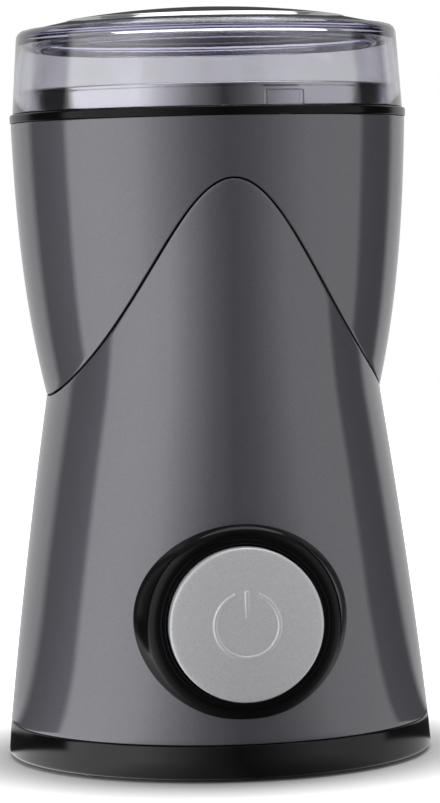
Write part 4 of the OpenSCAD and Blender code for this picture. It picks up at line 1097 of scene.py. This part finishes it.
class GRINDER_OT_base(bpy.types.Operator):
    """Black base with its air slots, and its rubber feet"""

    bl_idname = "grinder.base"
    bl_label = "Base"

    def execute(self, context):
        s = sizes()
        z0, z1 = low("base").z, high("base").z
        below = z0 - 1
        outer = high("base").x
        collar_inset, collar_wall = 2.9, 1.8
        inner = s.base_top_r - collar_inset
        floor = z0 + 2.2
        points = [
            (0, z0),
            (outer - 0.1, z0, 0.9),
            (s.base_top_r, s.base_top_z, 0.5),
            (inner, s.base_top_z),
            (inner, z1, 0.3),
            (inner - collar_wall, z1, 0.3),
            (inner - collar_wall, floor, 1.2),
            (0, floor),
        ]
        slot_w, slot_span = 3, 46
        slots = bmesh.new()
        for slot_r in (10, 17, 24):
            for middle in (218, 270, 322):
                slot = sector(slot_r, slot_r + slot_w, middle, slot_span, below, z0 + 4)
                gather(slots, slot)
        foot_r, foot_circle, foot_turns = 4.8, 42.8, (45, 135, 225, 315)
        screw_r, screw_deep, screw_circle = 3.2, 1.7, 36.2
        pockets = around(rod(screw_r, below, z0 + screw_deep, 32), screw_circle, (20, 160, 200, 340))
        gather(pockets, around(rod(foot_r + 0.1, below, z0 + 1), foot_circle, foot_turns))
        bm = boolean(boolean(turned(points), slots), pockets)
        dress(bm, "base_dish", "base_black", "housing", "black_plastic", "base")

        top = high("rubber_feet").z
        foot = turned([(0, 0), (foot_r, 0, 0.45), (foot_r, top, 0.2), (0, top)], 48)
        feet = around(foot, foot_circle, foot_turns)
        dress(feet, "rubber_feet_set", "rubber", "housing", "rubber", "rubber_feet")
        return {"FINISHED"}


class GRINDER_OT_grommet(bpy.types.Operator):
    """Rubber grommet of the cord inlet at the rear"""

    bl_idname = "grinder.grommet"
    bl_label = "Cord Grommet"

    def execute(self, context):
        y0, y1 = low("cord_grommet").y, high("cord_grommet").y
        bore, flange = 3.3, high("cord_grommet").x
        neck = flange - 1.5
        inner_flange = y0 + 2.5
        outer_flange = half_d(sizes(), inlet_z()) + 0.2
        points = [
            (bore, y0),
            (flange, y0, 0.4),
            (flange, inner_flange),
            (neck, inner_flange),
            (neck, outer_flange),
            (flange, outer_flange, 0.2),
            (flange, outer_flange + 1.0, 0.5),
            (neck, y1, 0.6),
            (bore, y1, 0.5),
        ]
        bm = turned(points, 64)
        face_back(bm, inlet_z())
        dress(bm, "cord_grommet_rubber", "rubber", "housing", "rubber", "cord_grommet")
        return {"FINISHED"}


# CAD nodes that stay as they are, and the finish that each one takes.
KEPT = {
    "bright_steel": (
        "base_screws bowl_nut shaft motor_screws bracket_screws ring_screws bezel_screws "
        "board_screws"
    ),
    "spring_steel": "brush_springs interlock_spring",
    "blade_steel": "blade",
    "chassis_plastic": "chassis button_carrier blade_hub blade_nut",
    "switch_plastic": "switch_body interlock_switch",
    "key_red": "switch_plunger interlock_plunger",
    "nylon": "drive_bush cooling_fan interlock_rod",
    "rubber": "bowl_gasket shaft_seal motor_dampers",
    "die_cast": "upper_bracket lower_bracket",
    "bronze": "upper_bush lower_bush",
    "brass": "brush_holders",
    "laminations": "stator_core armature_core",
    "windings": "field_coils armature_windings",
    "commutator_copper": "commutator",
    "carbon": "brushes",
    "board_green": "circuit_board",
    "film_yellow": "capacitor",
    "block_white": "terminal_block",
    "ceramic": "thermal_fuse",
}


class GRINDER_OT_kept_nodes(bpy.types.Operator):
    """Gives the inner pieces, which keep their CAD form, their finishes"""

    bl_idname = "grinder.kept_nodes"
    bl_label = "Inner Pieces"

    def execute(self, context):
        for finish, names in KEPT.items():
            for name in names.split():
                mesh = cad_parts[name].data
                mesh.materials.clear()
                mesh.materials.append(finish_named(finish))
        return {"FINISHED"}


# ---------------- studio


# Brightness round the studio wall: turn from the camera's side in degrees, + to its right.
WALL_LIGHT = (
    (-180, 0.07),
    (-173, 0.07),
    (-170, 0.62),
    (-129, 0.62),
    (-121, 0.03),
    (-92, 0.03),
    (-87, 1.25),
    (-42, 1.2),
    (-25, 0.66),
    (-8, 0.24),
    (10, 0.05),
    (25, 0.14),
    (42, 0.36),
    (58, 0.6),
    (97, 0.62),
    (102, 0.03),
    (129, 0.03),
    (137, 0.62),
    (170, 0.62),
    (173, 0.07),
    (180, 0.07),
)
CAMERA_TURN = 7.108
# What clear plastic shows of the studio wall, by height in metres.
DUSK = (0.02, 0.02, 0.045)
PALE = (0.67, 0.67, 0.67)
GLASS_LIGHT = ((0.0, DUSK), (0.13, DUSK), (0.165, PALE), (0.5, PALE), (0.55, DUSK))
WHITE = (1, 1, 1, 1)


def colours_along(tree, value, stops):
    """Colour from a value between 0 and 1 by a list of stops."""
    made = node_in(tree, "ValToRGB", Fac=value)
    ramp = made.color_ramp
    while len(ramp.elements) > 1:
        ramp.elements.remove(ramp.elements[-1])
    for k, (at, tint) in enumerate(stops):
        stop = ramp.elements[0] if k == 0 else ramp.elements.new(at)
        stop.position = at
        stop.color = (*tint, 1)
    return made.outputs["Color"]


def light(tree, kind, tint, strength):
    """A shader that gives off light."""
    return node_in(tree, kind, Color=tint, Strength=strength).outputs[0]


def blend(tree, amount, first, second):
    """A shader between two."""
    return node_in(tree, "MixShader", n0=amount, n1=first, n2=second).outputs[0]


def wall_light(tree):
    """Colour and strength of the studio wall by its direction from the grinder."""
    angle = math.radians(CAMERA_TURN)
    turned_back = node_in(
        tree, "VectorRotate", set_rotation_type="Z_AXIS", Vector=own_place(tree), Angle=angle
    )
    parts = axes(tree, turned_back.outputs[0])
    ahead = maths(tree, "MULTIPLY", parts["Y"], -1.0)
    direction = maths(tree, "ARCTAN2", parts["X"], ahead)
    share_of_turn = ranged(tree, direction, -math.pi, math.pi)
    top = max(value for _, value in WALL_LIGHT)
    stops = [((angle + 180) / 360, (value / top,) * 3) for angle, value in WALL_LIGHT]
    return colours_along(tree, share_of_turn, stops), top


def behind_glass(tree, path):
    """Mask of what is seen straight through glass."""
    bounces = maths(tree, "ADD", path["Glossy Depth"], path["Diffuse Depth"])
    straight = maths(tree, "LESS_THAN", bounces, 0.5)
    return maths(tree, "MULTIPLY", path["Is Transmission Ray"], straight)


def glow(tree, kind, tint, strength, glass_tint):
    """Light for the grinder, another colour behind glass and plain white to the eye."""
    path = node_in(tree, "LightPath").outputs
    lit = light(tree, kind, tint, strength)
    through = light(tree, kind, glass_tint, 1.0)
    inner = blend(tree, behind_glass(tree, path), lit, through)
    return blend(tree, path["Is Camera Ray"], inner, light(tree, kind, WHITE, 1.0))


def stage_piece(bm, name, build):
    """Makes a piece of the studio, with a material of its own."""
    piece = link(bm, name)
    made = start_material(name + " finish")
    tree = made.node_tree
    feed(tree, tree.nodes[OUTPUT], Surface=build(tree))
    piece.data.materials.append(made)
    return piece


def pale_floor(tree):
    """White away from the grinder, with a painted shadow round its base where the white lift fades
    out, and lit as the wall is where gloss mirrors it.
    """
    plain = {"Roughness": 0.6, "Specular_IOR_Level": 0.2}
    feed(tree, tree.nodes[SHADER], Base_Color=(0.8, 0.8, 0.8, 1), **plain)
    path = node_in(tree, "LightPath").outputs
    through = behind_glass(tree, path)
    # Painted shadow: near the grinder the white lift fades to nothing, so the floor darkens in a
    # ring round the base.
    painted_shadow_core, painted_shadow_edge = 0.045, 0.09
    away = far(tree, own_place(tree))
    lift_outside_painted_shadow = ranged(tree, away, painted_shadow_core, painted_shadow_edge, curve="SMOOTHSTEP")
    seen_by = maths(tree, "MULTIPLY_ADD", through, 0.5, path["Is Camera Ray"])
    lift = light(tree, "Emission", WHITE, maths(tree, "MULTIPLY", seen_by, lift_outside_painted_shadow))
    lifted = node_in(tree, "AddShader", n0=tree.nodes[SHADER].outputs[0], n1=lift).outputs[0]
    mirrored = maths(tree, "SUBTRACT", path["Is Glossy Ray"], through, clamp=True)
    return blend(tree, mirrored, lifted, light(tree, "Emission", *wall_light(tree)))


def studio_wall(tree):
    """The wall's soft lights, with a colour of its own by height behind glass."""
    pale = colours_along(tree, axes(tree, own_place(tree))["Z"], GLASS_LIGHT)
    return glow(tree, "Emission", *wall_light(tree), pale)


class GRINDER_OT_stage(bpy.types.Operator):
    """Pale floor, a round studio wall with its soft lights, and the camera"""

    bl_idname = "grinder.stage"
    bl_label = "Stage"

    def execute(self, context):
        context.scene.view_settings.view_transform = "Standard"
        self.floor()
        self.wall()
        self.overhead()
        self.surroundings()
        self.camera()
        return {"FINISHED"}

    def floor(self):
        bm = bmesh.new()
        bmesh.ops.create_circle(bm, cap_ends=True, segments=96, radius=1600.0)
        stage_piece(bm, "floor", pale_floor)

    def wall(self):
        """A wall round the grinder that lights it, and that the camera looks through."""
        radius, height = 1500.0, 1500.0
        bm = bmesh.new()
        bmesh.ops.create_cone(
            bm, cap_ends=False, segments=180, radius1=radius, radius2=radius, depth=height
        )
        move(bm, z=height / 2 - 1)
        bmesh.ops.reverse_faces(bm, faces=bm.faces)
        stage_piece(bm, "studio_wall", studio_wall).visible_camera = False

    def overhead(self):
        lamp = bpy.data.lights.new("overhead", "AREA")
        lamp.shape = "DISK"
        lamp.size = 1.3
        lamp.energy = 10.0
        box = bpy.data.objects.new("overhead", lamp)
        box.location = (0.12, 0.2, 1.25)
        box.rotation_euler = (-0.16, 0.1, 0.0)
        box.visible_camera = False
        bpy.context.scene.collection.objects.link(box)

    def surroundings(self):
        world = bpy.data.worlds.new("studio")
        world.use_nodes = True
        tree = world.node_tree
        tree.nodes.clear()
        shine = glow(tree, "Background", WHITE, 0.25, (*DUSK, 1))
        node_in(tree, "OutputWorld", Surface=shine)
        bpy.context.scene.world = world

    def camera(self):
        """A long lens from the front, a little to the left and above, and slightly rolled."""
        turn_in, pitch, roll = math.radians(CAMERA_TURN), 0.0557, -0.02085
        distance, height = 0.79413, 0.1268
        lens = bpy.data.cameras.new("camera")
        lens.lens = 151.02
        lens.shift_x = 0.00846
        lens.clip_start = 0.01
        lens.clip_end = 50.0
        eye = bpy.data.objects.new("camera", lens)
        eye.location = -distance * math.sin(turn_in), -distance * math.cos(turn_in), height
        level = Matrix.Rotation(-turn_in, 3, "Z") @ Matrix.Rotation(math.pi / 2 - pitch, 3, "X")
        eye.rotation_euler = (level @ Matrix.Rotation(roll, 3, "Z")).to_euler()
        bpy.context.scene.collection.objects.link(eye)
        bpy.context.scene.camera = eye


PIECES = (
    GRINDER_OT_kept_nodes,
    GRINDER_OT_lower_shell,
    GRINDER_OT_upper_shell,
    GRINDER_OT_trim_ring,
    GRINDER_OT_lid,
    GRINDER_OT_lid_disc,
    GRINDER_OT_bowl,
    GRINDER_OT_bezel,
    GRINDER_OT_button,
    GRINDER_OT_button_spring,
    GRINDER_OT_base,
    GRINDER_OT_grommet,
    GRINDER_OT_stage,
)


class GRINDER_PT_panel(bpy.types.Panel):
    """Lists the grinder's pieces and its sizes and colours"""

    bl_idname = "GRINDER_PT_panel"
    bl_label = "Spice Grinder"
    bl_space_type = "VIEW_3D"
    bl_region_type = "UI"
    bl_category = "Grinder"

    def draw(self, context):
        scene = context.scene
        for piece in PIECES:
            self.layout.operator(piece.bl_idname)
        for group in (scene.grinder_sizes, scene.grinder_finish, scene.grinder_detail):
            box = self.layout.box()
            for key in group.__annotations__:
                box.prop(group, key)


GROUPS = {
    "grinder_sizes": GrinderSizes,
    "grinder_finish": GrinderFinish,
    "grinder_detail": GrinderDetail,
}


def register():
    for name, group in GROUPS.items():
        bpy.utils.register_class(group)
        setattr(bpy.types.Scene, name, PointerProperty(type=group))
    for piece in PIECES:
        bpy.utils.register_class(piece)
    bpy.utils.register_class(GRINDER_PT_panel)


def unregister():
    bpy.utils.unregister_class(GRINDER_PT_panel)
    for piece in reversed(PIECES):
        bpy.utils.unregister_class(piece)
    for name, group in GROUPS.items():
        delattr(bpy.types.Scene, name)
        bpy.utils.unregister_class(group)


def main():
    register()
    for piece in PIECES:
        family, name = piece.bl_idname.split(".")
        getattr(getattr(bpy.ops, family), name)()


if __name__ == "__main__":
    main()
